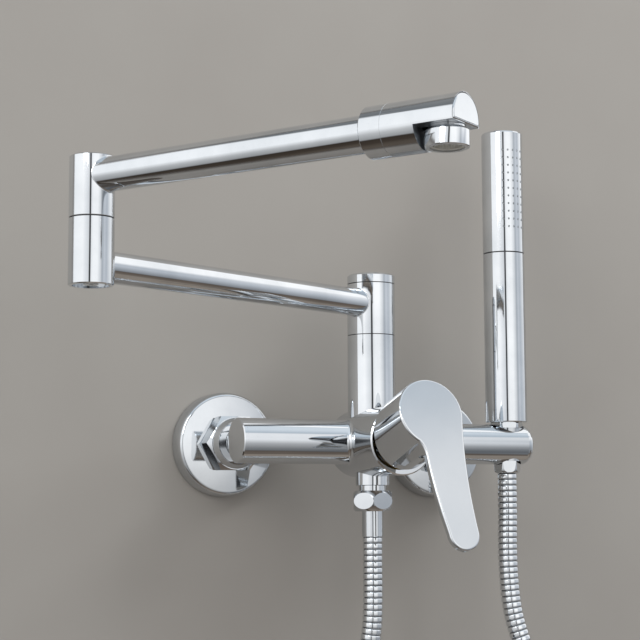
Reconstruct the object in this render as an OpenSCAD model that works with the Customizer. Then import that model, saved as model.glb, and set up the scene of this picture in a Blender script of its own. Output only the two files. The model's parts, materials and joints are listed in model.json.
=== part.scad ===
// Wall-mounted mixer with a double-jointed folding spout and a hand shower on
// a flexible hose. Origin: the wall plane, midway between the two inlets.
// +X to the right, +Y into the wall, +Z up. Millimetres.

/* [Wall connections] */
// Distance between the two inlet axes
inlet_spacing = 150; // [140:1:160]
// Distance from the wall to the axis of the mixer body
body_depth = 62; // [60:1:70]
// Radius of the inlet thread that screws into the wall fitting (G1/2)
inlet_thread_r = 10.475; // [10.0:0.025:10.6]
// Length of the inlet thread behind the wall
inlet_thread_len = 14; // [10:1:20]
// Radius of the union thread at the mixer side (G3/4)
union_thread_r = 13.2; // [13.0:0.1:13.4]
// Radius of an escutcheon at the wall
escutcheon_r = 32.5; // [30:0.5:36]
// Radius of the front face of an escutcheon
escutcheon_front_r = 29; // [26:0.5:29.5]
// Depth of an escutcheon
escutcheon_depth = 12; // [10:0.5:13]
// Sheet thickness of an escutcheon
escutcheon_wall = 1.2; // [0.8:0.1:2]
// Width across the flats of a union nut
union_nut_af = 33; // [31:0.5:35]
// Length of a union nut
union_nut_len = 17; // [15:0.5:18]

/* [Mixer body] */
// Radius of the left body tube
tube_r = 13.5; // [13:0.1:14.5]
// Bore radius of the body tubes
tube_bore_r = 9.5; // [8:0.1:10.5]
// Left end of the body tube, measured from the middle
tube_overhang = 15; // [13:1:21]
// Thickness of the disc that closes the left end
end_plug_t = 2.5; // [2:0.1:4]
// Radius of the right arm that carries the hand shower
arm_r = 12.7; // [12:0.1:13]
// Distance of the hand shower from the middle
holder_x = 96.5; // [95:1:105]
// Length of the right arm past the hand shower's axis
holder_nose = 14.5; // [14:0.5:20]
// Radius of the central barrel
barrel_r = 21; // [20.5:0.1:22]
// Length of the barrel in front of the body axis
barrel_front = 40; // [37:0.5:42]
// Length of the barrel behind the body axis
barrel_rear = 21; // [19:0.5:24]

/* [Cartridge and lever] */
// Radius of the cartridge
cartridge_r = 17.4; // [16.5:0.1:17.6]
// Distance from the barrel's front to the lever's pivot
pivot_back = 9; // [8:0.5:10]
// Lift of the lever's axis above the horizontal as stored
lever_lift = 17.8; // [16:0.2:20]
// Outer radius of the handle's skirt
skirt_r = 20.6; // [20.3:0.1:21]
// Wall thickness of the handle's skirt
skirt_wall = 2; // [1.6:0.1:2]
// Distance from the lever's pivot to the handle's flat face
face_reach = 46.8; // [45:0.1:49]
// Gap between the barrel's front and the handle's skirt
skirt_gap = 3.4; // [3:0.1:4]
// Thickness of the lever blade
blade_t = 3.5; // [3:0.1:4]
// Reach of the lever blade below the handle's axis
blade_reach = 82; // [78:0.2:90]
// Half width of the lever blade at its tip
blade_tip_r = 9.7; // [9:0.1:10.5]
// Sideways place of the lever blade's tip
blade_x = 8.2; // [7.5:0.1:10]
// Radius of the dome under the skirt
dome_r = 17.9; // [17:0.1:18]
// Width of the square spindle
spindle_w = 7; // [6:0.1:7.4]
// Length of the spindle in front of its pivot
spindle_len = 35.5; // [34:0.5:38]
// Lift of the spindle above the horizontal as stored
spindle_lift = 4; // [2:0.5:6]
// Distance of the grub screw from the lever's pivot
grub_reach = 29; // [27:0.5:30]

/* [Riser] */
// Radius of the riser
riser_r = 14.8; // [14:0.1:15]
// Height of the lower seam of the swivel above the body axis
knuckle_z = 65.5; // [60:0.5:70]
// Height of the swivel's rotating part
knuckle_h = 32.5; // [31:0.5:35]
// Height of the cap on top of the riser
cap_h = 5.6; // [5.4:0.1:8]
// Radius of the inner post that the swivel turns on
post_r = 9; // [8.5:0.1:9.5]
// Radius of the diverter button
button_r = 9; // [8:0.1:10]
// Width of the ring gap around the button
button_gap = 0.9; // [0.5:0.1:1]
// Travel of the diverter button
button_travel = 2; // [1.4:0.1:2]
// Radius of the diverter's vertical chamber
chamber_r = 7.5; // [7:0.1:7.5]

/* [Folding spout] */
// Distance from the riser to the elbow
lower_reach = 225; // [215:1:235]
// Direction of the lower arm as stored, counter-clockwise from +X
lower_turn = 203; // [200:1:206]
// Radius of the lower arm tube
lower_r = 8.5; // [7.5:0.1:8.6]
// Height of the lower arm's axis above the bottom of the elbow
lower_rise = 11; // [10:0.5:13]
// Radius of the elbow
elbow_r = 12; // [11.2:0.1:12.5]
// Height of the elbow's lower half
elbow_low_h = 35; // [33:0.5:37]
// Height of the elbow's upper half
elbow_top_h = 33; // [30:0.5:34]
// Radius of the upper arm tube
upper_r = 9.1; // [8:0.1:9.2]
// Depth of the upper arm's axis below the top of the elbow
upper_drop = 10.7; // [10:0.1:13]
// Distance from the elbow to the axis of the outlet
upper_reach = 212; // [205:1:222]
// Direction of the upper arm as stored, counter-clockwise from +X
upper_turn = 301; // [299:1:303]
// Wall thickness of the arm tubes
arm_wall = 1.5; // [1.2:0.1:2]
// Radius of the spout head
head_r = 12.5; // [12.2:0.1:13]
// Length of the spout head past the outlet's axis
head_nose = 10; // [9.8:0.1:12]
// Length of the collar between arm and head
collar_len = 12; // [10:0.5:14]
// Length of the spout head behind the outlet's axis
head_back = 28.5; // [26:0.5:32]
// Height of the milled flat below the arm's axis
flat_drop = 2; // [1:0.1:3]
// Radius of the aerator
aerator_r = 10.3; // [10:0.1:10.5]
// Height of the aerator's body
aerator_h = 9; // [8:0.1:9.5]

/* [Hand shower] */
// Radius of the hand shower's stick
wand_r = 13.3; // [12.9:0.1:13.5]
// Height of the stick's lower end above the body axis
wand_z = 14.1; // [13.8:0.1:18]
// Length of the grip
grip_len = 108.5; // [100:0.5:120]
// Length of the spraying half
spray_len = 79; // [75:0.5:90]
// Wall thickness of the stick
wand_wall = 2; // [1.6:0.1:2.4]
// Thickness of the seam ring
seam_t = 0.8; // [0.6:0.1:1.2]
// Number of nozzles in a row along the stick
nozzle_rows = 11; // [7:1:13]
// Number of rows around the front
nozzle_columns = 5; // [3:2:7]
// Distance between nozzles along the stick
nozzle_pitch = 5; // [4.5:0.1:5.3]
// Angle between rows of nozzles
nozzle_angle = 15; // [14:1:17]
// Radius of a nozzle hole
nozzle_r = 0.6; // [0.5:0.1:0.8]

/* [Hose] */
// Outer diameter of the hose
hose_d = 12.6; // [12:0.2:13]
// Radius of the conical nut at its wide end
cone_top_r = 10.4; // [10.3:0.1:11]
// Radius of the conical nut at its narrow end
cone_low_r = 8.2; // [7.8:0.1:8.4]
// Length of the conical nut
cone_len = 32.4; // [31:0.2:34]
// Radius of the outlet's thread (G1/2)
outlet_thread_r = 10.3; // [10.1:0.1:10.475]
// Width across the flats of the hose nut
hose_nut_af = 23.4; // [23:0.1:25]
// Height of the hose nut
hose_nut_h = 12.5; // [11:0.5:14]
// Length of the ferrule below the hose nut
ferrule_len = 15.5; // [13:0.5:18]
// Radius of the coil at the middle of its turns
coil_r = 72; // [66:1:75]

/* [Hidden] */

$fn = 72;
// Radial clearance of a running fit
run = 0.05;
// Clearance between pieces that are screwed or pushed together
seat = 0.02;
// Overshoot of a cutting tool
eps = 0.5;

chrome = [0.82, 0.84, 0.86];
steel = [0.62, 0.63, 0.65];
brass = [0.78, 0.64, 0.36];
rubber = [0.12, 0.12, 0.12];
plastic = [0.90, 0.90, 0.88];
ceramic = [0.96, 0.96, 0.94];

// Places worked out from the sizes above
inlet_x = inlet_spacing / 2;
tube_left = inlet_x + tube_overhang;
body_y = -body_depth;
barrel_face = body_y - barrel_front;
pivot_y = barrel_face + pivot_back;
cartridge_floor = body_y - 12;
spigot_r = 11;
spigot_end = -30;
nut_back = -13.2;
cap_z = knuckle_z + knuckle_h;
riser_top = cap_z + cap_h;
lower_z = knuckle_z + 20;
elbow_z = lower_z - lower_rise;
elbow_seam = elbow_z + elbow_low_h;
elbow_top = elbow_seam + elbow_top_h;
upper_z = elbow_top - upper_drop;
elbow_x = lower_reach * cos(lower_turn);
elbow_y = body_y + lower_reach * sin(lower_turn);
flat_z = upper_z - flat_drop;
flat_start = upper_reach - aerator_r - 0.5;
aerator_bottom = upper_z - head_r + 0.4;
aerator_top = aerator_bottom + aerator_h;
wand_seam_z = wand_z + grip_len;
spray_z = wand_seam_z + seam_t;
wand_top = spray_z + spray_len;
cone_z = wand_z - cone_len;
// Where the grub screw meets the underside of the tilted spindle
grub_start = (grub_reach + 2.5) * tan(lever_lift - spindle_lift)
    + spindle_w / 2 / cos(lever_lift - spindle_lift) + 0.05;
// How much the conical nut narrows for each millimetre of its length
cone_slope = (cone_top_r - cone_low_r) / cone_len;
// Play of the conical nut in the holder's tapered hole
cone_play = 0.12;
outlet_top = -barrel_r + 2;
port_x = 13.7;
port_r = 2.6;
boss_top = 24;
boss_r = riser_r - 2;
neck_h = 1;
button_t = 1.8;
nose_round = 5.5;
// Spigot of the hand shower that the conical nut is screwed on to
wand_spigot_r = 8.4;
spool_bottom = -10;
spring_seat = outlet_top + 2.6;
collar_bottom = -26.4;
nut_top = collar_bottom - 3;
nut_bottom = nut_top - hose_nut_h;
ferrule_bottom = nut_bottom - ferrule_len;
ferrule_r = hose_d / 2 + 0.2;
coil_x = 56;
coil_z = -214;
coil_pitch = 13;
coil_turns = 2.5;
coil_y_start = -46;
coil_y_mid = coil_y_start - coil_pitch * coil_turns / 2;
coil_depth = coil_pitch * coil_turns + hose_d;

// Points that the hose follows from the outlet to the coil, chosen by hand
low_route = [
    [0, body_y, ferrule_bottom], [0, -62, -75], [0, -62, -92], [-0.5, -61.5, -110],
    [-2.5, -59.5, -128], [-6, -56, -147], [-10.5, -51.5, -167], [-14.3, -47.6, -188],
    [coil_x - coil_r, coil_y_start, coil_z]
];
// Points that the hose follows from the coil to the hand shower, chosen by hand
top_route = [
    [coil_x + coil_r, coil_y_start - coil_pitch * coil_turns, coil_z],
    [127, -77.5, -194], [121, -74.5, -172], [112.8, -70.6, -151],
    [104.4, -66.6, -129], [98.7, -63.4, -107], [96.5, -62.2, -85],
    [96, -62, -63], [holder_x, body_y, -43], [holder_x, body_y, cone_z]
];

// ---- helpers ----

// Cylinder along +Y that starts at y
module along_y(y, len, r, x = 0, z = 0)
    translate([x, y, z]) rotate([-90, 0, 0]) cylinder(h = len, r = r);

// Cylinder along +X that starts at x
module along_x(x, len, r, y = body_y)
    translate([x, y, 0]) rotate([0, 90, 0]) cylinder(h = len, r = r);

// Solid of revolution around the Y axis at x; points are [radius, y]
module turned_y(points, x = 0)
    translate([x, 0, 0]) rotate([-90, 0, 0]) rotate_extrude() polygon(points);

// Solid of revolution around the vertical at x, y; points are [radius, z]
module turned_z(points, x, y)
    translate([x, y, 0]) rotate_extrude() polygon(points);

// Hexagonal prism along +Z with its corners turned off at both ends
module hex_nut(af, h) intersection() {
    cylinder(h = h, r = af / sqrt(3), $fn = 6);
    rotate_extrude() polygon([
        [0, 0], [af / 2 - 0.4, 0], [af / sqrt(3), 2.2], [af / sqrt(3), h - 2.2],
        [af / 2 - 0.4, h], [0, h]
    ]);
}

// Puts children on the elbow's axis at height z, turned to an arm's direction
module at_elbow(z, turn) translate([elbow_x, elbow_y, z]) rotate([0, 0, turn]) children();

// Puts children on the riser's axis at height z, turned to the lower arm
module at_riser(z, turn = lower_turn) translate([0, body_y, z]) rotate([0, 0, turn]) children();

// Frame of the tilted handle: +Z is the handle's axis, +Y is up along its face
module at_lever(tilt = lever_lift) translate([0, pivot_y, 0]) rotate([90 - tilt, 0, 0]) children();

// Unit vector
function unit(v) = v / norm(v);
// Direction of a route at point i
function heading(p, i) = unit(p[min(i + 1, len(p) - 1)] - p[max(i - 1, 0)]);
// Ring of points round route point i
function ring(p, i, r, n) =
    let (t = heading(p, i), a = unit(cross(t, [0, 1, 0])), b = cross(t, a))
    [for (k = [0 : n - 1]) p[i] + r * (a * cos(360 * k / n) + b * sin(360 * k / n))];

// Tube swept along a route as one closed polyhedron; its ends lie level
module hose_tube(p, r, n = 12) {
    ends = [for (k = [0 : n - 1]) [r * cos(360 * k / n), r * sin(360 * k / n), 0]];
    rings = [for (i = [0 : len(p) - 1]) ring(p, i, r, n)];
    points = [for (q = rings) each q];
    m = len(p);
    polyhedron(
        points = points,
        faces = concat(
            [[for (k = [n - 1 : -1 : 0]) k]],
            [for (i = [0 : m - 2], k = [0 : n - 1])
                [i * n + k, i * n + (k + 1) % n, (i + 1) * n + (k + 1) % n, (i + 1) * n + k]],
            [[for (k = [0 : n - 1]) (m - 1) * n + k]]
        )
    );
}

// ---- wall connections ----

// Turned union: thread into the wall, collar behind the escutcheon, thread for the nut
module wall_union(x) color(brass) difference() {
    turned_y([
        [0, inlet_thread_len], [inlet_thread_r, inlet_thread_len], [inlet_thread_r, 0],
        [union_thread_r + 0.6, 0], [union_thread_r + 0.6, -4],
        [union_thread_r - 1, -4], [union_thread_r - 1, nut_back + 1],
        [union_thread_r, nut_back + 1], [union_thread_r, spigot_end + 4.5],
        [0, spigot_end + 4.5]
    ], x);
    along_y(spigot_end, 60, 8, x);
}

module escutcheon(x) color(chrome) turned_y([
    [escutcheon_r - escutcheon_wall, 0], [escutcheon_r, 0],
    [escutcheon_r - 0.4, -escutcheon_depth * 0.72],
    [escutcheon_r - 1.2, -escutcheon_depth * 0.88],
    [escutcheon_front_r, -escutcheon_depth],
    [union_thread_r + 1.4, -escutcheon_depth - 1],
    [union_thread_r + 1.4, -escutcheon_depth + escutcheon_wall - 1],
    [escutcheon_front_r - 0.5, -escutcheon_depth + escutcheon_wall],
    [escutcheon_r - escutcheon_wall - 0.8, -escutcheon_depth * 0.7]
], x);

// Hexagon union nut that pulls the body's spigot against the wall union
module union_nut(x) color(chrome) difference() {
    translate([x, nut_back, 0]) rotate([90, 0, 0]) union() {
        hex_nut(union_nut_af, union_nut_len - 4);
        translate([0, 0, union_nut_len - 4 - eps])
            cylinder(h = 4 + eps, r1 = union_nut_af / 2 - 0.6, r2 = union_nut_af / 2 - 3);
    }
    along_y(spigot_end - 0.2, 40, union_thread_r + run, x);
    along_y(-60, 60, spigot_r + 0.1, x);
}

module inlet_washer(x) color(rubber) difference() {
    along_y(spigot_end + 2.5 + seat, 2 - 2 * seat, union_thread_r - 0.3, x);
    along_y(-40, 60, 8, x);
}

module wall_union_left() wall_union(-inlet_x);
module wall_union_right() wall_union(inlet_x);
module escutcheon_left() escutcheon(-inlet_x);
module escutcheon_right() escutcheon(inlet_x);
module union_nut_left() union_nut(-inlet_x);
module union_nut_right() union_nut(inlet_x);
module inlet_washer_left() inlet_washer(-inlet_x);
module inlet_washer_right() inlet_washer(inlet_x);

// ---- mixer body ----

// Spigot with the flange that the union nut holds
module spigot(x) {
    along_y(body_y, body_depth + spigot_end, spigot_r, x);
    along_y(spigot_end, 2.5, union_thread_r - 0.2, x);
}

module mixer_body() color(chrome) difference() {
    union() {
        along_x(-tube_left + end_plug_t, tube_left, tube_r);
        along_x(0, holder_x + holder_nose - nose_round, arm_r);
        translate([holder_x + holder_nose - nose_round, body_y, 0]) rotate([0, 90, 0])
            rotate_extrude() polygon(concat([[0, 0]], [
                for (a = [0 : 11.25 : 90])
                    [arm_r - nose_round + nose_round * cos(a), nose_round * sin(a)]
            ], [[0, nose_round]]));
        turned_y([
            [0, body_y + barrel_rear], [barrel_r - 2, body_y + barrel_rear],
            [barrel_r - 0.6, body_y + barrel_rear - 0.6],
            [barrel_r, body_y + barrel_rear - 2], [barrel_r, barrel_face + 0.8],
            [barrel_r - 0.8, barrel_face], [0, barrel_face]
        ]);
        translate([0, body_y, 0]) cylinder(h = boss_top, r = boss_r);
        spigot(-inlet_x);
        spigot(inlet_x);
    }
    // Cartridge pocket with the port from each side and the way out
    along_y(barrel_face - eps, cartridge_floor - barrel_face + eps, cartridge_r + run);
    for (s = [-1, 1]) along_y(cartridge_floor - eps, 12, port_r, s * port_x);
    along_y(cartridge_floor - eps, 8, port_r);
    // Waterways of the two side tubes and their inlets
    along_x(-tube_left, tube_left - chamber_r - 3, tube_bore_r);
    along_x(chamber_r + 3, inlet_x + 8 - chamber_r - 3, tube_bore_r - 1);
    for (s = [-1, 1]) along_y(body_y, body_depth, 8, s * inlet_x);
    // Diverter chamber, the riser's socket and the outlet's socket
    translate([0, body_y, -barrel_r - eps]) cylinder(h = 60, r = chamber_r);
    translate([0, body_y, 12]) cylinder(h = 20, r = post_r + 1.5);
    translate([0, body_y, -barrel_r - eps]) cylinder(h = 5 + eps, r = chamber_r + 0.8);
    // Tapered hole that holds the conical nut
    translate([holder_x, body_y, -arm_r - 2]) cylinder(
        h = 2 * arm_r + 4,
        r1 = cone_low_r + cone_slope * (-arm_r - 2 - cone_z) + cone_play,
        r2 = cone_low_r + cone_slope * (arm_r + 2 - cone_z) + cone_play
    );
}

// Disc with a threaded stub that closes the left end of the tube
module body_end_plug() color(chrome) translate([-tube_left, body_y, 0]) rotate([0, 90, 0])
    rotate_extrude() polygon([
        [0, 0], [tube_r - 0.6, 0], [tube_r, 0.6], [tube_r, end_plug_t - seat],
        [tube_bore_r - seat, end_plug_t - seat], [tube_bore_r - seat, 9], [0, 9]
    ]);

// ---- cartridge and lever ----

module cartridge_housing() color(plastic) difference() {
    along_y(pivot_y - 6, cartridge_floor - seat - pivot_y + 6, cartridge_r);
    along_y(pivot_y - 3, 14.8, 12.4);
    along_y(pivot_y - 8, 8, 9.2);
    for (s = [-1, 0, 1]) along_y(pivot_y, 40, port_r, s * port_x * 0.85);
}

// Threaded ring that clamps the cartridge
module cartridge_nut() color(brass) difference() {
    along_y(pivot_y - 8.6, 2.6 - seat, cartridge_r);
    along_y(pivot_y - 12, 10, 9.2);
}

// Dome that closes the barrel under the handle's skirt
module cartridge_dome() color(chrome) difference() {
    intersection() {
        translate([0, pivot_y, 0]) sphere(r = dome_r);
        along_y(pivot_y - 20, 20 - 8.6 - seat, 20);
    }
    along_y(pivot_y - 20, 20, 10.4);
    intersection() {
        translate([0, pivot_y, 0]) sphere(r = dome_r - 1.8);
        along_y(pivot_y - 20, 20, 20);
    }
}

module ceramic_disc_fixed() color(ceramic) difference() {
    along_y(pivot_y + 9.4, 2.3, 12.2);
    for (s = [-1, 0, 1]) along_y(pivot_y, 40, 2.4, s * 8.2);
}

module ceramic_disc_moving() color(ceramic) difference() {
    along_y(pivot_y + 6.8, 2.5, 11.6);
    along_y(pivot_y + 8.2, 4, 7);
}

// Carrier that turns with the lever and drives the moving disc
module spindle_carrier() color(plastic) difference() {
    along_y(pivot_y - 2.8, 9.5, 12.3);
    translate([-spindle_w / 2 - 0.2, pivot_y - 10, -6.5]) cube([spindle_w + 0.4, 15, 13]);
    translate([-20, pivot_y, 0]) rotate([0, 90, 0]) cylinder(h = 40, r = 1.5 + seat);
}

// Square spindle, level when the lever is part way up
module spindle() color(steel) at_lever(spindle_lift) difference() {
    translate([-spindle_w / 2, -spindle_w / 2, -4]) cube([spindle_w, spindle_w, spindle_len + 4]);
    rotate([0, 90, 0]) translate([0, 0, -20]) cylinder(h = 40, r = 1.5 + run);
}

module spindle_pin() color(steel)
    translate([-11.5, pivot_y, 0]) rotate([0, 90, 0]) cylinder(h = 23, r = 1.5);

// Edge of the blade, from the skirt's circle round the tip and back, seen from
// the front: straight on the left, swept into the skirt on the right
function bend(a, b, c, t) = (1 - t) * (1 - t) * a + 2 * t * (1 - t) * b + t * t * c;
blade_outline = concat(
    [[-6, -10], [-12, -15]],
    [for (t = [0 : 0.2 : 1]) bend([-12.1, -16.3], [-8.3, -19.2], [-7.6, -26], t)],
    [for (t = [0.25 : 0.25 : 1]) bend([-7.6, -26], [-6.8, -47], [blade_x - blade_tip_r, blade_tip_r - blade_reach], t)],
    [for (a = [190 : 10 : 350]) [blade_x + blade_tip_r * cos(a), blade_tip_r - blade_reach + blade_tip_r * sin(a)]],
    [for (t = [0 : 0.125 : 1]) bend([blade_x + blade_tip_r, blade_tip_r - blade_reach], [15.2, -36], [skirt_r - 0.6, -5], t)]
);

module handle() color(chrome) difference() {
    union() {
        // Skirt, cut off square to the barrel in front of the dome
        intersection() {
            at_lever() difference() {
                cylinder(h = face_reach, r = skirt_r);
                translate([0, 0, -eps])
                    cylinder(h = face_reach - blade_t + eps, r = skirt_r - skirt_wall);
            }
            translate([-30, barrel_face - skirt_gap - 60, -40]) cube([60, 60, 90]);
        }
        // Blade in the plane of the face
        at_lever() translate([0, 0, face_reach - blade_t])
            linear_extrude(blade_t) polygon(blade_outline);
        // Socket for the spindle
        intersection() {
            at_lever(spindle_lift) translate([0, 0, 20]) cylinder(h = 30, r = 7);
            at_lever() cylinder(h = face_reach - 1, r = skirt_r - 1);
        }
    }
    at_lever(spindle_lift) translate([-spindle_w / 2 - seat, -spindle_w / 2 - seat, 0])
        cube([spindle_w + 2 * seat, spindle_w + 2 * seat, spindle_len + 0.2]);
    // Hole of the grub screw, under the skirt
    at_lever() translate([0, 0, grub_reach]) rotate([90, 0, 0]) cylinder(h = 30, r = 2.5 + seat);
}

// Grub screw that holds the handle on the spindle, with its hexagon socket
module handle_grub_screw() color(steel) at_lever() translate([0, 0, grub_reach])
    rotate([90, 0, 0]) difference() {
        translate([0, 0, grub_start]) cylinder(h = skirt_r - 0.8 - grub_start, r = 2.5);
        translate([0, 0, skirt_r - 3.8]) cylinder(h = 5, r = 1.45, $fn = 6);
    }

// ---- riser ----

module riser_tube() color(chrome) difference() {
    at_riser(0) cylinder(h = knuckle_z, r = riser_r);
    at_riser(0) translate([0, 0, -eps]) cylinder(h = knuckle_z + 1, r = post_r + seat);
    at_riser(0) translate([0, 0, -eps]) cylinder(h = boss_top + seat + eps, r = boss_r + seat);
    along_y(-150, 150, barrel_r + seat);
}

// Post that carries the swivel, with the water ports at the arm's height
module riser_post() color(brass) difference() {
    union() {
        at_riser(14) cylinder(h = cap_z - 14, r = post_r);
        at_riser(12 + seat) cylinder(h = 4, r = post_r + 1.4);
        at_riser(cap_z - eps) cylinder(h = neck_h + eps, r = post_r - 1);
    }
    at_riser(0) cylinder(h = cap_z - 4, r = post_r - 2.5);
    at_riser(0) cylinder(h = cap_z + 20, r = 2.3);
    at_riser(lower_z) for (a = [0, 90]) rotate([90, 0, a])
        translate([0, 0, -20]) cylinder(h = 40, r = 3);
}

// Thin slide washer in a seam
module seam_washer(z, t, r_in, r_out) color(plastic) at_riser(z + seat) difference() {
    cylinder(h = t - 2 * seat, r = r_out);
    translate([0, 0, -eps]) cylinder(h = t + 2 * eps, r = r_in);
}

// Height of the slide washers in the seams
washer_t = 0.5;

module riser_washer() seam_washer(knuckle_z, washer_t, post_r + 0.2, riser_r - 0.5);
module cap_washer() seam_washer(cap_z - washer_t, washer_t, post_r + 0.2, riser_r - 0.5);

module riser_knuckle() color(chrome) difference() {
    at_riser(knuckle_z + washer_t) cylinder(h = knuckle_h - 2 * washer_t - seat, r = riser_r);
    at_riser(0) cylinder(h = 150, r = post_r + 1.5);
    at_riser(lower_z - 8) cylinder(h = 16, r = post_r + 2.6);
    // Socket of the lower arm
    at_riser(lower_z) rotate([0, 90, 0]) cylinder(h = 40, r = lower_r - 0.6);
}

// Plastic bush pressed into the knuckle, running on the post
module riser_bush(z) color(plastic) at_riser(z) difference() {
    cylinder(h = 6, r = post_r + 1.5 - seat);
    translate([0, 0, -eps]) cylinder(h = 8, r = post_r + run);
}

module riser_bush_low() riser_bush(knuckle_z + washer_t + 1);
module riser_bush_high() riser_bush(cap_z - washer_t - 7.5);

module riser_cap() color(chrome) difference() {
    at_riser(0) rotate_extrude() polygon([
        [0, cap_z + seat], [riser_r, cap_z + seat], [riser_r, riser_top - 1],
        [riser_r - 1, riser_top], [0, riser_top]
    ]);
    at_riser(riser_top - button_t - button_travel - 0.3) cylinder(h = 20, r = button_r + button_gap);
    at_riser(0) cylinder(h = cap_z + neck_h + seat, r = post_r - 1 + seat);
    at_riser(0) cylinder(h = 200, r = 2.3);
}

module diverter_button() color(chrome) at_riser(0) rotate_extrude() polygon([
    [0, riser_top - button_t], [button_r, riser_top - button_t], [button_r, riser_top - 0.2],
    [button_r - 0.5, riser_top + 0.3], [0, riser_top + 0.3]
]);

module diverter_rod() color(steel) at_riser(-12) cylinder(h = riser_top + 12 - button_t - seat, r = 2);

// Spool that opens either the way up or the way down
module diverter_spool() color(plastic) at_riser(0) difference() {
    rotate_extrude() polygon([
        [0, spool_bottom], [chamber_r - 0.1, spool_bottom], [chamber_r - 0.1, spool_bottom + 3],
        [4, spool_bottom + 3], [4, 4.5],
        [chamber_r - 0.1, 4.5], [chamber_r - 0.1, 7.5], [0, 7.5]
    ]);
    translate([0, 0, -50]) cylinder(h = 100, r = 2 + seat);
}

// Outer shape of the return spring, on its seat in the outlet
module diverter_spring() color(steel) at_riser(spring_seat + seat) difference() {
    cylinder(h = spool_bottom - spring_seat - 2 * seat, r = 7.1);
    translate([0, 0, -eps]) cylinder(h = 12, r = 6.2);
}

// ---- folding spout ----

// Tube of an arm from start to stop, with a saddle that fits the round piece at its root
module arm_tube(r, start, stop) rotate([0, 90, 0]) difference() {
    translate([0, 0, start]) cylinder(h = stop - start, r = r);
    translate([0, 0, start - eps]) cylinder(h = stop - start + 2 * eps, r = r - arm_wall);
}

module lower_arm() color(chrome) difference() {
    at_riser(lower_z) arm_tube(lower_r, 0, lower_reach);
    at_riser(0) cylinder(h = 200, r = riser_r + seat);
    at_elbow(0, 0) cylinder(h = 200, r = elbow_r + seat);
}

module elbow_lower() color(chrome) difference() {
    at_elbow(0, 0) rotate_extrude() polygon([
        [0, elbow_z], [elbow_r - 0.5, elbow_z], [elbow_r, elbow_z + 0.5],
        [elbow_r, elbow_seam - 0.2], [elbow_r - 0.2, elbow_seam], [0, elbow_seam]
    ]);
    at_elbow(elbow_z - eps, 0) cylinder(h = 4 + eps, r = elbow_r - 2.3);
    at_elbow(elbow_z + 3, 0) cylinder(h = elbow_low_h - 14, r = elbow_r - 3.2);
    at_elbow(elbow_z + 3, 0) cylinder(h = elbow_low_h, r = 6.5);
    at_elbow(lower_z, lower_turn) rotate([0, -90, 0]) cylinder(h = 30, r = lower_r - 1.6);
}

// Disc that closes the elbow from below, slightly set back
module elbow_plug() color(chrome) difference() {
    at_elbow(elbow_z + 1.4, 0) cylinder(h = 2.5, r = elbow_r - 2.3 - seat);
    at_elbow(elbow_z, 0) cylinder(h = 8, r = 2 + seat);
}

// Screw through the plug, with a hexagon socket
module elbow_screw() color(steel) difference() {
    union() {
        at_elbow(elbow_z + 1.4, 0) cylinder(h = 11, r = 2);
        at_elbow(elbow_z + 0.6, 0) cylinder(h = 0.8, r = 4);
    }
    at_elbow(elbow_z, 0) cylinder(h = 2.6, r = 1.45, $fn = 6);
}

// Hollow post pressed into the lower half; the upper half turns on it
module elbow_post() color(brass) difference() {
    at_elbow(elbow_z + elbow_low_h - 11 + 0.2, 0) cylinder(h = 30.8, r = 6.5 - seat);
    at_elbow(0, 0) cylinder(h = 200, r = 4.6);
}

module elbow_washer() color(plastic) difference() {
    at_elbow(elbow_seam + seat, 0) cylinder(h = washer_t - 2 * seat, r = elbow_r - 0.5);
    at_elbow(0, 0) cylinder(h = 200, r = 6.7);
}

module elbow_upper() color(chrome) difference() {
    at_elbow(0, 0) rotate_extrude() polygon([
        [0, elbow_seam + washer_t], [elbow_r - 0.2, elbow_seam + washer_t],
        [elbow_r, elbow_seam + washer_t + 0.2], [elbow_r, elbow_top - 0.6],
        [elbow_r - 0.6, elbow_top], [0, elbow_top]
    ]);
    at_elbow(elbow_seam, 0) cylinder(h = elbow_top_h - 2.5, r = 8);
    at_elbow(upper_z, upper_turn) rotate([0, 90, 0]) cylinder(h = 30, r = upper_r - 1.6);
}

// Plastic bush between the post and the upper half
module elbow_bush() color(plastic) difference() {
    at_elbow(elbow_seam + washer_t + 1, 0) cylinder(h = 9, r = 8 - seat);
    at_elbow(0, 0) cylinder(h = 200, r = 6.5 - seat + run);
}

// Where the collar and the head start along the upper arm
head_start = upper_reach - head_back;
collar_start = head_start - collar_len;

module upper_arm() color(chrome) difference() {
    at_elbow(upper_z, upper_turn) arm_tube(upper_r, 0, head_start + 6);
    at_elbow(0, 0) cylinder(h = 200, r = elbow_r + seat);
}

// Along the upper arm, solid of revolution; points are [radius, distance]
module turned_arm(points) at_elbow(upper_z, upper_turn) rotate([0, 90, 0])
    rotate_extrude() polygon(points);

module spout_collar() color(chrome) turned_arm([
    [upper_r + seat, collar_start], [head_r - 0.8, collar_start],
    [head_r, collar_start + 0.8], [head_r, head_start - 0.1], [head_r - 0.1, head_start - seat],
    [upper_r + seat, head_start - seat]
]);

module spout_head() color(chrome) difference() {
    turned_arm([
        [0, head_start], [head_r - 0.1, head_start], [head_r, head_start + 0.1],
        [head_r, upper_reach + head_nose - 0.5], [head_r - 0.5, upper_reach + head_nose],
        [0, upper_reach + head_nose]
    ]);
    // Socket of the arm and the way to the outlet
    at_elbow(upper_z, upper_turn) rotate([0, 90, 0]) translate([0, 0, head_start - eps])
        cylinder(h = 6 + eps + seat, r = upper_r + seat);
    at_elbow(upper_z + 2, upper_turn) rotate([0, 90, 0]) translate([0, 0, head_start])
        cylinder(h = head_back, r = 5.5);
    // Milled flat on the underside
    at_elbow(flat_z - 20, upper_turn) translate([flat_start, -20, 0]) cube([40, 40, 20]);
    at_elbow(flat_z - eps, upper_turn) translate([upper_reach, 0, 0])
        cylinder(h = 7, r = 7.5 + seat);
}

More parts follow.
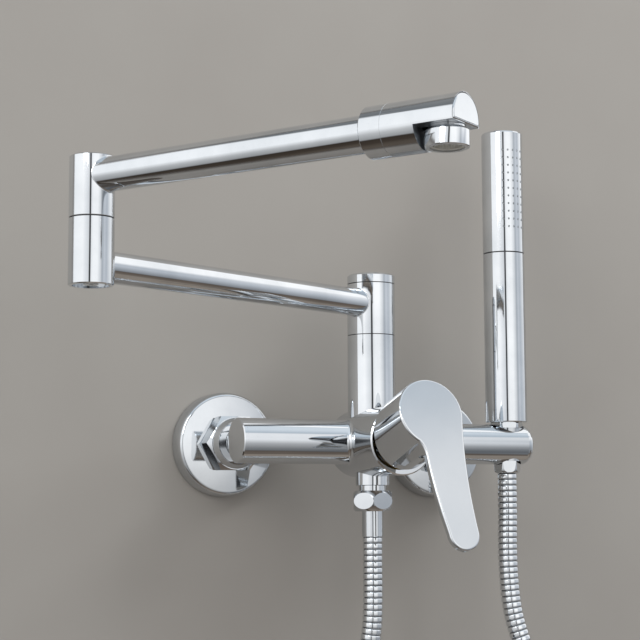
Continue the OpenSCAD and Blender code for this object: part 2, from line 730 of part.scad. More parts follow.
// Housing with two wrench flats, screwed up into the head
module aerator_housing() color(chrome) difference() {
    at_elbow(0, upper_turn) translate([upper_reach, 0, 0]) rotate_extrude() polygon([
        [7.9, aerator_bottom], [aerator_r - 0.4, aerator_bottom],
        [aerator_r, aerator_bottom + 0.4], [aerator_r, aerator_top - 1.4],
        [aerator_r - 1.8, aerator_top], [aerator_r - 1.8, flat_z - seat],
        [7.5, flat_z - seat], [7.5, flat_z + 5], [6, flat_z + 5], [6, aerator_top - 2],
        [7.9, aerator_top - 2]
    ]);
    at_elbow(aerator_bottom - eps, 185) translate([0, 0, 0]) for (s = [-1, 1])
        rotate([0, 0, upper_turn - 185]) translate([upper_reach, 0, 0])
            rotate([0, 0, 185 - upper_turn]) translate([s * (aerator_r + 4.1), 0, 2.6])
                cube([10, 30, 5.2 + 2 * eps], center = true);
}

module aerator_insert() color(plastic) difference() {
    at_elbow(aerator_bottom + 0.8, upper_turn) translate([upper_reach, 0, 0])
        cylinder(h = aerator_h - 3, r = 7.9 - seat);
    at_elbow(aerator_bottom, upper_turn) translate([upper_reach, 0, 0])
        for (k = [0 : 5]) rotate([0, 0, 60 * k]) translate([4.6, 0, -1])
            cylinder(h = 20, r = 1.5);
}

// ---- hose outlet ----

module outlet_nipple() color(chrome) difference() {
    union() {
        difference() {
            at_riser(0) rotate_extrude() polygon([
                [0, collar_bottom - 9.5], [outlet_thread_r, collar_bottom - 9.5],
                [outlet_thread_r, nut_top - 0.8], [8.4, nut_top - 0.8], [8.4, collar_bottom],
                [outlet_thread_r - 0.4, collar_bottom], [outlet_thread_r, collar_bottom + 0.4],
                [outlet_thread_r, outlet_top + 4], [0, outlet_top + 4]
            ]);
            along_y(-150, 150 - eps, barrel_r + seat);
        }
        at_riser(collar_bottom) cylinder(h = spring_seat - collar_bottom, r = chamber_r + 0.8 - seat);
    }
    at_riser(-80) cylinder(h = 120, r = 6);
}

module hose_washer() color(rubber) at_riser(collar_bottom - 11.5 + seat) difference() {
    cylinder(h = 2 - 2 * seat, r = outlet_thread_r - 0.3);
    translate([0, 0, -eps]) cylinder(h = 4, r = 5);
}

module hose_nut() color(chrome) difference() {
    at_riser(nut_bottom, 6) hex_nut(hose_nut_af, hose_nut_h);
    at_riser(nut_bottom + 2, 0) cylinder(h = 40, r = outlet_thread_r + run);
    at_riser(nut_bottom - eps, 0) cylinder(h = 10, r = ferrule_r + run);
}

// Ferrule crimped on the hose, with the flange that the nut pulls up
module hose_ferrule() color(chrome) difference() {
    at_riser(0) rotate_extrude() polygon([
        [4, ferrule_bottom], [ferrule_r - 0.3, ferrule_bottom],
        [ferrule_r, ferrule_bottom + 0.3], [ferrule_r, nut_bottom + 2 + seat],
        [outlet_thread_r - 1, nut_bottom + 2 + seat], [outlet_thread_r - 1, collar_bottom - 11.5 - seat],
        [4, collar_bottom - 11.5 - seat]
    ]);
}

// ---- hose ----

module hose_low_run() color(steel) hose_tube(low_route, hose_d / 2);
module hose_top_run() color(steel) hose_tube(top_route, hose_d / 2);

// Outer shape of the wound turns, on their common axis along Y
module hose_coil() color(steel) translate([coil_x, coil_y_mid, coil_z]) rotate([90, 0, 0])
    rotate_extrude() translate([coil_r - hose_d / 2, -coil_depth / 2]) square([hose_d, coil_depth]);

// Strap round the turns at the top of the coil
module hose_tie() color(rubber) translate([coil_x, coil_y_mid, coil_z]) rotate([90, 0, 0])
    rotate([0, 0, 86]) rotate_extrude(angle = 8) difference() {
        translate([coil_r - hose_d / 2 - 1.2, -coil_depth / 2 - 1.2])
            square([hose_d + 2.4, coil_depth + 2.4]);
        translate([coil_r - hose_d / 2 - 0.1, -coil_depth / 2 - 0.1])
            square([hose_d + 0.2, coil_depth + 0.2]);
    }

// ---- hand shower ----

// Conical nut that sits in the holder, with flats for the fingers near its ends
module cone_nut() color(chrome) difference() {
    turned_z([
        [4.5, cone_z], [cone_low_r - 0.4, cone_z], [cone_low_r, cone_z + 0.4],
        [cone_top_r, wand_z - seat], [wand_spigot_r + run, wand_z - seat],
        [wand_spigot_r + run, wand_z - 9], [4.5, wand_z - 9]
    ], holder_x, body_y);
}

module wand_grip() color(chrome) difference() {
    union() {
        turned_z([
            [0, wand_z], [wand_r - 0.6, wand_z], [wand_r, wand_z + 0.6],
            [wand_r, wand_seam_z], [0, wand_seam_z]
        ], holder_x, body_y);
        translate([holder_x, body_y, wand_z - 7.5]) cylinder(h = 10, r = wand_spigot_r);
    }
    translate([holder_x, body_y, wand_z + 4]) cylinder(h = 200, r = wand_r - wand_wall);
    translate([holder_x, body_y, 0]) cylinder(h = 200, r = 6);
    translate([holder_x, body_y, 0]) cylinder(h = wand_z + 1, r = wand_spigot_r - 1.6);
}

module wand_valve() color(plastic) translate([holder_x, body_y, wand_z - 7]) difference() {
    cylinder(h = 7.5, r = wand_spigot_r - 1.6 - seat);
    translate([0, 0, -eps]) cylinder(h = 20, r = 4);
}

module wand_seam() color(plastic) translate([holder_x, body_y, wand_seam_z + seat]) difference() {
    cylinder(h = seam_t - 2 * seat, r = wand_r - 0.4);
    translate([0, 0, -eps]) cylinder(h = 3, r = wand_r - wand_wall);
}

// Height of the lowest nozzle
nozzle_z = wand_top - 13 - nozzle_pitch * (nozzle_rows - 1);

// Nozzle holes, facing the front
module nozzles(start, len)
    for (i = [0 : nozzle_rows - 1], k = [0 : nozzle_columns - 1])
        translate([holder_x, body_y, nozzle_z + i * nozzle_pitch])
            rotate([90, 0, (k - (nozzle_columns - 1) / 2) * nozzle_angle])
                translate([0, 0, start]) cylinder(h = len, r = nozzle_r, $fn = 16);

module wand_spray() color(chrome) difference() {
    turned_z([
        [wand_r - wand_wall, spray_z], [wand_r, spray_z], [wand_r, wand_top - 1.2],
        [wand_r - 0.4, wand_top - 0.4], [wand_r - 1.2, wand_top],
        [wand_r - wand_wall, wand_top]
    ], holder_x, body_y);
    nozzles(wand_r - wand_wall - 1, wand_wall + 2);
}

module wand_cap() color(chrome) translate([holder_x, body_y, wand_top - 4])
    cylinder(h = 3.8, r = wand_r - wand_wall - seat);

// Plastic core that carries the nozzles behind the tube
module nozzle_core() color(plastic) translate([holder_x, body_y, spray_z]) difference() {
    cylinder(h = spray_len - 4 - seat, r = wand_r - wand_wall - seat);
    translate([0, 0, -eps]) cylinder(h = spray_len - 6, r = wand_r - wand_wall - 2);
}

wall_union_left();
wall_union_right();
escutcheon_left();
escutcheon_right();
union_nut_left();
union_nut_right();
inlet_washer_left();
inlet_washer_right();
mixer_body();
body_end_plug();
cartridge_housing();
cartridge_nut();
cartridge_dome();
ceramic_disc_fixed();
ceramic_disc_moving();
spindle_carrier();
spindle();
spindle_pin();
handle();
handle_grub_screw();
riser_tube();
riser_post();
riser_washer();
riser_knuckle();
riser_bush_low();
riser_bush_high();
cap_washer();
riser_cap();
diverter_button();
diverter_rod();
diverter_spool();
diverter_spring();
lower_arm();
elbow_lower();
elbow_plug();
elbow_screw();
elbow_post();
elbow_washer();
elbow_bush();
elbow_upper();
upper_arm();
spout_collar();
spout_head();
aerator_housing();
aerator_insert();
outlet_nipple();
hose_washer();
hose_nut();
hose_ferrule();
hose_low_run();
hose_coil();
hose_top_run();
hose_tie();
cone_nut();
wand_grip();
wand_seam();
wand_spray();
wand_cap();
nozzle_core();
wand_valve();
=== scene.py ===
# %% [markdown]
# # A wall mixer with a folding spout and a hand shower
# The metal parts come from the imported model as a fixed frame, in metres: +X runs to the
# right along the body, +Y into the wall and +Z up. This lesson keeps that frame, rounds
# the edges that a polisher would round, adds the soft and fine pieces, and gives each
# piece the finish of its real material.

# %% Load the frame
import json
from math import cos, hypot, pi, radians, sin, sqrt

import bmesh
import bpy
from mathutils import Matrix, Quaternion, Vector


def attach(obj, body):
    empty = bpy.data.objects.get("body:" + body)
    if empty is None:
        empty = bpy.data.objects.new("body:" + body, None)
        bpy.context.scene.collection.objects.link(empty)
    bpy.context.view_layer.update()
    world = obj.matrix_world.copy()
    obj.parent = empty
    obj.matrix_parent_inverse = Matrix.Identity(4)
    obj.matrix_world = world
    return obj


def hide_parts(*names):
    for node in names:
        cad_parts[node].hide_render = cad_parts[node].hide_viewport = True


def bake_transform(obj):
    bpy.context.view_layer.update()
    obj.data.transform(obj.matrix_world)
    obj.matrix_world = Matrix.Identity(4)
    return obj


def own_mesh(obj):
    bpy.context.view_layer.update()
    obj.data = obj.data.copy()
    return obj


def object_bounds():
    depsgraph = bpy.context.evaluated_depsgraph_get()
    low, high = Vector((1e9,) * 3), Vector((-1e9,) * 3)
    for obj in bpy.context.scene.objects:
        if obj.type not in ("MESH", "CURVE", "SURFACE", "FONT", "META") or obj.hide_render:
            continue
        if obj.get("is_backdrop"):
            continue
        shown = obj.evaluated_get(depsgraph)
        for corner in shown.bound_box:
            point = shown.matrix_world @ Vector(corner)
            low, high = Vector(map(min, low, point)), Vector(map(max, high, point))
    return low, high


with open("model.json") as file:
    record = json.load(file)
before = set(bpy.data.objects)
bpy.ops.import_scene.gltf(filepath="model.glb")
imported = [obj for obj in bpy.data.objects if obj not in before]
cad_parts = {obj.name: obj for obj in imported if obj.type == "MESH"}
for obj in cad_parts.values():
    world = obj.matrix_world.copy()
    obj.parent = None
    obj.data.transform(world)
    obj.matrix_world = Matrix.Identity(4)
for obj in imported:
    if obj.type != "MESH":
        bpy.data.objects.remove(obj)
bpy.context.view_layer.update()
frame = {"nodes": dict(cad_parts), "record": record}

MM = 0.001  # a millimetre in the frame's metres
nodes = frame["nodes"]

# %% [markdown]
# ## The camera
# The mixer is looked at from the left and a little from below. A wide lens close by
# would make the spout, which comes towards the eye, swell, so a long lens from a metre
# away was chosen.

# %% Camera
LENS_MM, SENSOR_MM = 91.76, 36.0
EYE = Vector((-454.75, -957.35, -42.25)) * MM
TURN, PITCH, ROLL = radians(25.118), radians(6.715), radians(-0.223)
BODY_Y = -62.0  # mm, how far the body's axis stands in front of the wall
RISER_TOP = Vector((0, BODY_Y, 90)) * MM

forward = Vector((sin(TURN) * cos(PITCH), cos(TURN) * cos(PITCH), sin(PITCH)))
camera = bpy.data.objects.new("camera", bpy.data.cameras.new("camera"))
bpy.context.scene.collection.objects.link(camera)
camera.data.lens, camera.data.sensor_width = LENS_MM, SENSOR_MM
camera.data.clip_start, camera.data.clip_end = 0.01, 50
camera.rotation_mode = "QUATERNION"
camera.location = EYE
camera.rotation_quaternion = forward.to_track_quat("-Z", "Y") @ Quaternion((0, 0, 1), ROLL)
bpy.context.scene.camera = camera
bpy.context.scene.view_settings.view_transform = "Standard"
print("camera distance from the riser: %.2f m" % (EYE - RISER_TOP).length)

# %% [markdown]
# ## Helpers for materials
# Colours are written as sRGB hex, as they are picked from a swatch, and turned to the
# linear values that the shader wants. A material could be put together by hand in the
# Shader Editor. In a script, one function that adds a node with its settings and links
# keeps each material below to a few lines that can be read from top to bottom.

# %% Colour and node helpers
def linear(hex_code):
    """An sRGB hex colour as linear red, green, blue and alpha."""
    parts = [int(hex_code[i : i + 2], 16) / 255 for i in (1, 3, 5)]
    return [c / 12.92 if c <= 0.04045 else ((c + 0.055) / 1.055) ** 2.4 for c in parts] + [1.0]


def add(tree, kind, links=(), **settings):
    """Adds a node. kind is its type without the ShaderNode that all of them start with.
    Settings that name a socket set it, the others set a property.
    links are (socket of this node, node, socket of that node)."""
    node = tree.nodes.new("ShaderNode" + kind)
    for name, value in settings.items():
        label = name.replace("_", " ")
        if hasattr(node, name):
            setattr(node, name, value)
        else:
            node.inputs[label if label in node.inputs else label.title()].default_value = value
    for socket, source, output in links:
        tree.links.new(source.outputs[output], node.inputs[socket])
    return node


def with_stops(node, *stops):
    """Sets the stops of a colour ramp: (position, hex colour)."""
    elements = node.color_ramp.elements
    while len(elements) > 1:
        elements.remove(elements[-1])
    elements[0].position, elements[0].color = stops[0][0], linear(stops[0][1])
    for place, colour in stops[1:]:
        elements.new(place).color = linear(colour)
    return node


def blank(name, metallic=0.0):
    """A new material: returns it, its tree, its Principled shader and its coordinates."""
    material = bpy.data.materials.new(name)
    material.use_nodes = True
    tree = material.node_tree
    shader = tree.nodes["Principled BSDF"]
    shader.inputs["Metallic"].default_value = metallic
    return material, tree, shader, add(tree, "TexCoord")


def feed(tree, shader, **sources):
    """Links nodes to sockets of the shader, each given as socket=(node, output)."""
    for socket, (node, output) in sources.items():
        tree.links.new(node.outputs[output], shader.inputs[socket.replace("_", " ")])


print("pale grey in linear values:", [round(c, 3) for c in linear("#D6D9DC")])

# %% [markdown]
# ## Chrome plate
# The body, spout and hand shower are brass castings and tubes, ground, polished, and
# plated with nickel and a thin layer of chrome. Plated metal is a mirror that is a
# little cooler than silver, so a plain metal shader would do from afar. What gives it
# away as a real piece is small: the wheel leaves faint long waves, and fingers and
# dried water leave patches that are slightly less glossy, so both are drawn. Five grades
# are used: castings polished by hand, drawn tubes, small turned parts, pressed sheet,
# and a milled recess that no wheel reaches and that stays satin.

# %% Chrome
DROP_MM = 5.5  # from one dried drop to the next


def chrome(name, tint, dull, gloss, wave_mm, wave, smudge_mm=38.0):
    """Polished chrome plate. dull is its colour where it was touched, gloss its roughness,
    wave_mm the length of the polishing waves, and wave how much they bend a reflection."""
    material, tree, shader, place = blank(name, metallic=1.0)
    smudges = add(tree, "TexNoise", [("Vector", place, "Object")],
                  Scale=1 / (smudge_mm * MM), Detail=4.0, Roughness=0.55)
    spots = add(tree, "TexVoronoi", [("Vector", place, "Object")], Scale=1 / (DROP_MM * MM), Randomness=1.0)
    dried = add(tree, "MapRange", [("Value", spots, "Distance")],
                From_Min=0.10, From_Max=0.16, To_Min=0.012, To_Max=0.0)
    patches = add(tree, "MapRange", [("Value", smudges, "Fac")],
                  From_Min=0.42, From_Max=0.72, To_Min=gloss, To_Max=gloss + 0.05)
    total = add(tree, "Math", [(0, patches, "Result"), (1, dried, "Result")], operation="ADD")
    cool = with_stops(add(tree, "ValToRGB", [("Fac", smudges, "Fac")]), (0.35, tint), (0.75, dull))
    waves = add(tree, "TexNoise", [("Vector", place, "Object")], Scale=1 / (wave_mm * MM), Detail=1.0)
    bend = add(tree, "Bump", [("Height", waves, "Fac")], Strength=wave, Distance=wave_mm * MM * 0.05)
    feed(tree, shader, Base_Color=(cool, "Color"), Roughness=(total, "Value"), Normal=(bend, "Normal"))
    return material


chrome_cast = chrome("chrome plate on polished cast brass", "#DCDFE2", "#D2D6DA", 0.035, 34.0, 0.05, 60.0)
chrome_tube = chrome("chrome plate on drawn brass tube", "#DEE1E4", "#C9CDD1", 0.030, 30.0, 0.06)
chrome_turned = chrome("chrome plate on turned brass", "#DADDE0", "#C9CDD1", 0.040, 9.0, 0.05)
chrome_inside = chrome("chrome plate on brass that was not polished", "#C6C9CC", "#AEB1B5", 0.3, 6.0, 0.1)
chrome_sheet = chrome("chrome plate on pressed steel sheet", "#DBDEE1", "#C9CDD1", 0.035, 22.0, 0.14)
grades = chrome_cast, chrome_tube, chrome_turned, chrome_inside, chrome_sheet
print("chrome grades:", [material.name for material in grades])

# %% [markdown]
# ## Bare metals
# The unions, posts and the clamping ring are turned from brass bar and left bare: the
# tool leaves fine rings round the axis, and the metal goes a little brown in the air.
# Screws, spindle, pin, rod and spring are bright stainless steel, drawn or ground, with
# fine scratches along the bar. Both are one noise, squeezed along an axis: it is simpler
# than a wave pattern, and its lines are as uneven as real ones.

# %% Brass and stainless steel
STAIN_MM = 11  # across a patch that the air has browned


def bare_metal(name, bright, dull, rough, groove_mm, along):
    """Turned or drawn metal: fine lines groove_mm apart, squeezed along one axis."""
    material, tree, shader, place = blank(name, metallic=1.0)
    stretch = add(tree, "Mapping", [("Vector", place, "Object")], Scale=along)
    lines = add(tree, "TexNoise", [("Vector", stretch, "Vector")], Scale=1 / (groove_mm * MM), Detail=2.0)
    stain = add(tree, "TexNoise", [("Vector", place, "Object")], Scale=1 / (STAIN_MM * MM), Detail=5.0)
    tone = with_stops(add(tree, "ValToRGB", [("Fac", stain, "Fac")]), (0.38, bright), (0.66, dull))
    gloss = add(tree, "MapRange", [("Value", lines, "Fac")], To_Min=rough - 0.06, To_Max=rough + 0.12)
    cut = add(tree, "Bump", [("Height", lines, "Fac")], Strength=0.22, Distance=0.05 * MM)
    feed(tree, shader, Base_Color=(tone, "Color"), Roughness=(gloss, "Result"), Normal=(cut, "Normal"))
    return material


# Lines finer than half a millimetre vanish in a render, so they are drawn that coarse.
brass_turned = bare_metal("bare turned brass", "#E3C27A", "#A8813F", 0.28, 0.6, (0.15, 0.15, 1.0))
steel_drawn = bare_metal("drawn stainless steel", "#D4D6D8", "#AEB1B4", 0.22, 0.5, (1.0, 1.0, 0.08))
print("bare metals:", brass_turned.name, "and", steel_drawn.name)

# %% [markdown]
# ## Rubber, plastic and ceramic
# Washers are black EPDM rubber, pressed in a mould that was blasted, so they are matt
# with a fine grain. Slide washers, bushes and the cartridge are POM, an off-white
# engineering plastic with a waxy sheen. The nozzles are soft grey silicone that lime
# can be rubbed off. The two valve discs are lapped alumina ceramic, white and very flat.
# They differ in tone, gloss and grain only, so one function makes them all.

# %% Rubber, plastics and ceramic
CLOUD_MM = 14  # across a patch of slightly different tone


def moulded(name, base, patch, rough, grain_mm, grain, soft=0.0, coat=0.0):
    """A moulded piece: two close tones in large patches, and a fine grain in the surface."""
    material, tree, shader, place = blank(name)
    cloud = add(tree, "TexNoise", [("Vector", place, "Object")], Scale=1 / (CLOUD_MM * MM), Detail=4.0)
    tone = with_stops(add(tree, "ValToRGB", [("Fac", cloud, "Fac")]), (0.36, base), (0.68, patch))
    pits = add(tree, "TexNoise", [("Vector", place, "Object")], Scale=1 / (grain_mm * MM), Detail=2.0)
    relief = add(tree, "Bump", [("Height", pits, "Fac")], Strength=grain, Distance=0.08 * MM)
    sheen = add(tree, "MapRange", [("Value", cloud, "Fac")], To_Min=rough - 0.05, To_Max=rough + 0.07)
    feed(tree, shader, Base_Color=(tone, "Color"), Roughness=(sheen, "Result"), Normal=(relief, "Normal"))
    shader.inputs["Sheen Weight"].default_value = soft
    shader.inputs["Coat Weight"].default_value = coat
    return material


# A real mould's grain is a tenth of these sizes and would vanish, so it is drawn coarser.
rubber_epdm = moulded("black moulded EPDM rubber", "#1E1E1F", "#2A2A2A", 0.62, 0.7, 0.30, soft=0.15)
plastic_pom = moulded("off-white moulded POM", "#E6E4DC", "#DAD8CF", 0.38, 0.9, 0.10)
silicone_grey = moulded("grey moulded silicone", "#A7ABAE", "#989C9F", 0.48, 0.5, 0.12, soft=0.10)
plastic_dark = moulded("dark grey moulded POM", "#2B2C2E", "#232425", 0.42, 0.7, 0.10)
ceramic_lapped = moulded("white lapped alumina", "#F2F1EC", "#E9E8E2", 0.16, 1.2, 0.03, coat=0.4)
print("soft and hard mouldings:", rubber_epdm.name, plastic_pom.name, silicone_grey.name, sep="; ")

# %% [markdown]
# ## Hose metal
# The hose is a strip of steel wound into a helix and plated, so it is bright on its
# ridges and dull down in its folds, where the polisher can't reach; the dark colour in
# the folds is painted shade.
# A ring pattern in the material would slip on the bends. So the colour follows an
# attribute that the hose's own mesh carries: 0 in a fold, 1 on a ridge.

# %% Hose metal
GRIME_MM = 6  # across a patch of dried water


def hose_metal():
    """Plated strip, dull in a fold, where painted shade also darkens it, and bright on a ridge."""
    material, tree, shader, place = blank("chrome plate on wound steel strip", metallic=1.0)
    depth = add(tree, "Attribute", attribute_name="ridge")
    grime = add(tree, "TexNoise", [("Vector", place, "Object")], Scale=1 / (GRIME_MM * MM), Detail=3.0)
    # painted shade: the colour is near black in a fold, where shade falls between the ridges
    tone = with_stops(add(tree, "ValToRGB", [("Fac", depth, "Fac")]),
                      (0.0, "#2C2E30"), (0.25, "#85898D"), (0.55, "#E2E5E8"))
    dull = add(tree, "MapRange", [("Value", depth, "Fac")], To_Min=0.36, To_Max=0.03)
    worn = add(tree, "Math", [(0, grime, "Fac"), (2, dull, "Result")], operation="MULTIPLY_ADD")
    worn.inputs[1].default_value = 0.06
    feed(tree, shader, Base_Color=(tone, "Color"), Roughness=(worn, "Value"))
    return material


strip_wound = hose_metal()
print("hose finish:", strip_wound.name)

# %% [markdown]
# ## Finishes for the frame's own nodes
# Many nodes of the frame are shown as they are and need nothing but their finish. It
# could be given node by node. Each node has a material slot in the record, and slots
# share finishes, so one table from slot to finish is shorter and easy to check.

# %% Dress the nodes
finishes = {
    "chrome_body": chrome_cast, "chrome_wall": chrome_sheet, "chrome_lever": chrome_cast,
    "chrome_riser": chrome_tube, "chrome_spout": chrome_tube, "chrome_fittings": chrome_turned,
    "chrome_shower": chrome_tube, "brass": brass_turned, "steel": steel_drawn,
    "rubber": rubber_epdm, "plastic": plastic_pom, "plastic_dark": plastic_dark,
    "ceramic": ceramic_lapped, "hose_metal": strip_wound,
}
slot_of = {row["node"]: row["material_slot"] for row in frame["record"]["subparts"]}
body_of = {n: b for b, names in frame["record"]["behaviour"]["bodies"].items() for n in names}
for name, piece in nodes.items():
    piece.data.materials.clear()
    piece.data.materials.append(finishes[slot_of[name]])
print("slots dressed:", len(finishes))

# %% [markdown]
# ## Helpers that finish and measure a piece
# A finished piece keeps its place in its mesh and its object at the origin, as the
# frame's nodes do, so a pattern never slides when the object moves. Sizes could be typed
# in again for each piece. They are measured on the node instead, so that the piece
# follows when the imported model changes.

# %% Finish and measure
SMOOTH_DEG = 35.0  # faces that meet at less than this look like one curve


def finish_piece(name, mesh, material, body, smooth=SMOOTH_DEG):
    """Makes the object from a bmesh, shades it smooth up to an angle, and hangs it on its body."""
    data = bpy.data.meshes.new(name)
    mesh.to_mesh(data)
    mesh.free()
    data.materials.append(material)
    data.shade_smooth()
    if smooth:
        data.set_sharp_from_angle(angle=radians(smooth))
    piece = bpy.data.objects.new(name, data)
    bpy.context.scene.collection.objects.link(piece)
    if body:
        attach(piece, body)
    return piece


def extent(node):
    """Lowest and highest corner of a node in mm."""
    at = [v.co / MM for v in nodes[node].data.vertices]
    return [Vector(pick(v[k] for v in at) for k in range(3)) for pick in (min, max)]


def mid_of(node):
    low, high = extent(node)
    return (low + high) / 2


def stand_for(piece, *names):
    """The piece takes the place of nodes, which are hidden."""
    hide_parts(*names)
    return piece


print("handle reaches down to z mm:", round(extent("handle")[0].z, 1))

# %% [markdown]
# ## Small edges
# Every edge of a nut or a casting goes over a soft wheel before it is plated, and that
# takes a few tenths of a millimetre off it. The thin round is what catches the light.
# It could be modelled edge by edge. A Bevel modifier finds the edges by their angle,
# but needs corners that hang together, so it works on a welded copy of the node.

# %% Small edges
EDGES_MM = {"union_nut_left": 0.6, "union_nut_right": 0.6, "aerator_housing": 0.25}
EDGE_DEG = 32.0  # an edge that turns further than this is rounded
WELD_MM, FLAT_DEG = 0.002, 0.7  # corners this close are one, faces this even are one


def edge_radius(piece, width_mm, segments=3):
    """A Bevel modifier that rounds the sharp edges of a piece."""
    rounded = piece.modifiers.new("polished edge", "BEVEL")
    rounded.width, rounded.segments = width_mm * MM, segments
    rounded.limit_method, rounded.angle_limit = "ANGLE", radians(EDGE_DEG)
    rounded.harden_normals = True
    rounded.use_clamp_overlap = True
    rounded.miter_outer = "MITER_ARC"
    return piece


def welded(node):
    """A bmesh copy of a node, its loose triangles merged to whole faces."""
    mesh = bmesh.new()
    mesh.from_mesh(nodes[node].data)
    bmesh.ops.remove_doubles(mesh, verts=mesh.verts, dist=WELD_MM * MM)
    bmesh.ops.dissolve_limit(mesh, angle_limit=radians(FLAT_DEG), verts=mesh.verts, edges=mesh.edges)
    return mesh


def polished_copy(node, mesh):
    """The object of a node's reworked copy, in the node's own finish and on its body."""
    return finish_piece(node + "_polished", mesh, finishes[slot_of[node]], body_of[node])


for node, width in EDGES_MM.items():
    stand_for(edge_radius(polished_copy(node, welded(node)), width), node)
print("rounded edges mm:", EDGES_MM)

# %% [markdown]
# ## Handle and spout head
# The handle's flat face and the square end of the spout head roll over into their sides
# in a wider round, which draws a bright rim. A bevel of that width folds over where the
# outline is made of many short edges. So the face is sunk by the radius, and then
# inset and raised in small steps that follow a quarter of a circle.

# %% Handle and spout head
HANDLE_ROUND, HEAD_ROUND, RECESS = 1.3, 1.1, 5  # mm, the last one from the tip to the recess
FACING, DOWNWARD = 0.9, -0.95  # how squarely a face must look towards a direction, or down


def rounded_face(node, radius, toward, parts=6):
    """A copy whose largest face towards a direction rolls over into its sides, which stand
    square to it."""
    mesh = welded(node)
    face = max(mesh.faces, key=lambda f: f.calc_area() * (f.normal.dot(toward.normalized()) > FACING))
    for corner in face.verts:
        corner.co -= face.normal * radius * MM
    steps = [(1 - cos(a), sin(a)) for a in (pi / 2 * k / parts for k in range(parts + 1))]
    for (x, y), (to_x, to_y) in zip(steps, steps[1:]):
        bmesh.ops.inset_region(mesh, faces=[face], thickness=(to_x - x) * radius * MM,
                               depth=(to_y - y) * radius * MM, use_even_offset=True, use_boundary=True)
    piece = polished_copy(node, mesh)
    even = piece.modifiers.new("even face", "WEIGHTED_NORMAL")
    even.keep_sharp = True
    return stand_for(piece, node)


rounded_face("handle", HANDLE_ROUND, Vector((0, -1, 0.3)))
along_spout = ((mid_of("spout_head") - mid_of("elbow_upper")) * Vector((1, 1, 0))).normalized()
head = rounded_face("spout_head", HEAD_ROUND, along_spout)
head.data.materials.append(chrome_inside)
tip = max(v.co.dot(along_spout) for v in head.data.vertices)
for face in head.data.polygons:  # the milled recess and the underside stay satin
    inner = face.normal.dot(along_spout) > FACING and face.center.dot(along_spout) < tip - RECESS * MM
    face.material_index = int(inner or face.normal.z < DOWNWARD)
print("satin faces of the spout head:", sum(face.material_index for face in head.data.polygons))

# %% [markdown]
# ## Fillets of the casting
# The body is cast in one piece and ground, so its side tubes run into the barrel in a
# small hollow fillet that draws a bright line. The spout's arms are brazed into the elbow
# and the riser, and the plated braze is a finer one. A bevel can't run along the edge
# where two separate cylinders meet. Each fillet is made as the surface that a ball leaves
# as it rolls round that corner: one ring of points for each place of the ball, and one
# bridge over all the rings.

# %% Fillets
BARREL_R, BODY_TUBE_R, HOLDER_ARM_R = 21.0, 13.5, 12.7  # mm
KNUCKLE_R, ELBOW_R, LOWER_ARM_R, UPPER_ARM_R = 14.8, 12.0, 8.5, 9.1
CAST_BALL, BRAZE_BALL, SUNK = 2.6, 0.9, 0.4  # mm, the last one into the metal


def bridged(rings, closed=False):
    """A bmesh of rings of points in mm, bridged from ring to ring. The last ring joins the
    first, or both ends are filled."""
    mesh, edges = bmesh.new(), []
    for ring in rings:
        points = [mesh.verts.new(point * MM) for point in ring]
        edges += [mesh.edges.new(pair) for pair in zip(points, points[1:] + points[:1])]
    bmesh.ops.bridge_loops(mesh, edges=edges, use_cyclic=closed)
    if not closed:
        bmesh.ops.edgeloop_fill(mesh, edges=[edge for edge in mesh.edges if edge.is_boundary])
    bmesh.ops.recalc_face_normals(mesh, faces=mesh.faces)
    return mesh


def fillet(name, core, radius, ball, out, along, place, node, steps=72, parts=7):
    """Rolls a ball round a tube that leaves a round core at right angles."""
    out, along = Vector(out).normalized(), Vector(along)
    axes = Matrix((out, along, out.cross(along))).transposed()
    rings = []
    for k in range(steps):
        a = 2 * pi * k / steps
        wide, high = (radius + ball) * cos(a), (radius + ball) * sin(a)
        centre = Vector((sqrt((core + ball) ** 2 - high ** 2), wide, high))
        share = core / (core + ball)
        on_tube = Vector((centre.x, radius * cos(a), radius * sin(a)))
        on_core = Vector((centre.x * share, wide, high * share))
        first, last = (on_tube - centre).normalized(), (on_core - centre).normalized()
        ring = [centre + ball * first.slerp(last, t / parts) for t in range(parts + 1)]
        foot, inner = sqrt(core ** 2 - (radius * sin(a)) ** 2) - SUNK, radius - SUNK
        ring.append(Vector((foot, inner * cos(a), inner * sin(a))))
        rings.append([Vector(place) + axes @ point for point in ring])
    piece = finish_piece(name, bridged(rings, closed=True), finishes[slot_of[node]], body_of[node])


for name, radius, way in (("fillet_left_tube", BODY_TUBE_R, -1), ("fillet_right_arm", HOLDER_ARM_R, 1)):
    fillet(name, BARREL_R, radius, CAST_BALL, (way, 0, 0), (0, 1, 0), (0, BODY_Y, 0), "mixer_body")
riser, elbow, spout = mid_of("riser_knuckle"), mid_of("elbow_upper"), mid_of("spout_collar")
for name, core, radius, start, end, tube, node in (
        ("fillet_riser", KNUCKLE_R, LOWER_ARM_R, riser, elbow, "lower_arm", "riser_knuckle"),
        ("fillet_elbow_low", ELBOW_R, LOWER_ARM_R, elbow, riser, "lower_arm", "elbow_lower"),
        ("fillet_elbow_top", ELBOW_R, UPPER_ARM_R, elbow, spout, "upper_arm", "elbow_upper")):
    out = Vector((end.x - start.x, end.y - start.y, 0))
    fillet(name, core, radius, BRAZE_BALL, out, (0, 0, 1), (start.x, start.y, mid_of(tube).z), node)

# %% [markdown]
# ## Turned shapes
# Most pieces of a mixer are turned on a lathe. A cylinder that is cut and bevelled would
# do for a plain one. Spinning half a profile round an axis is closer to the lathe, and
# it takes any rim, groove or bore in one go.

# %% Turned shapes
MERGE_M, ROUND_STEPS = 1e-7, 96  # m within which corners are one, faces all round


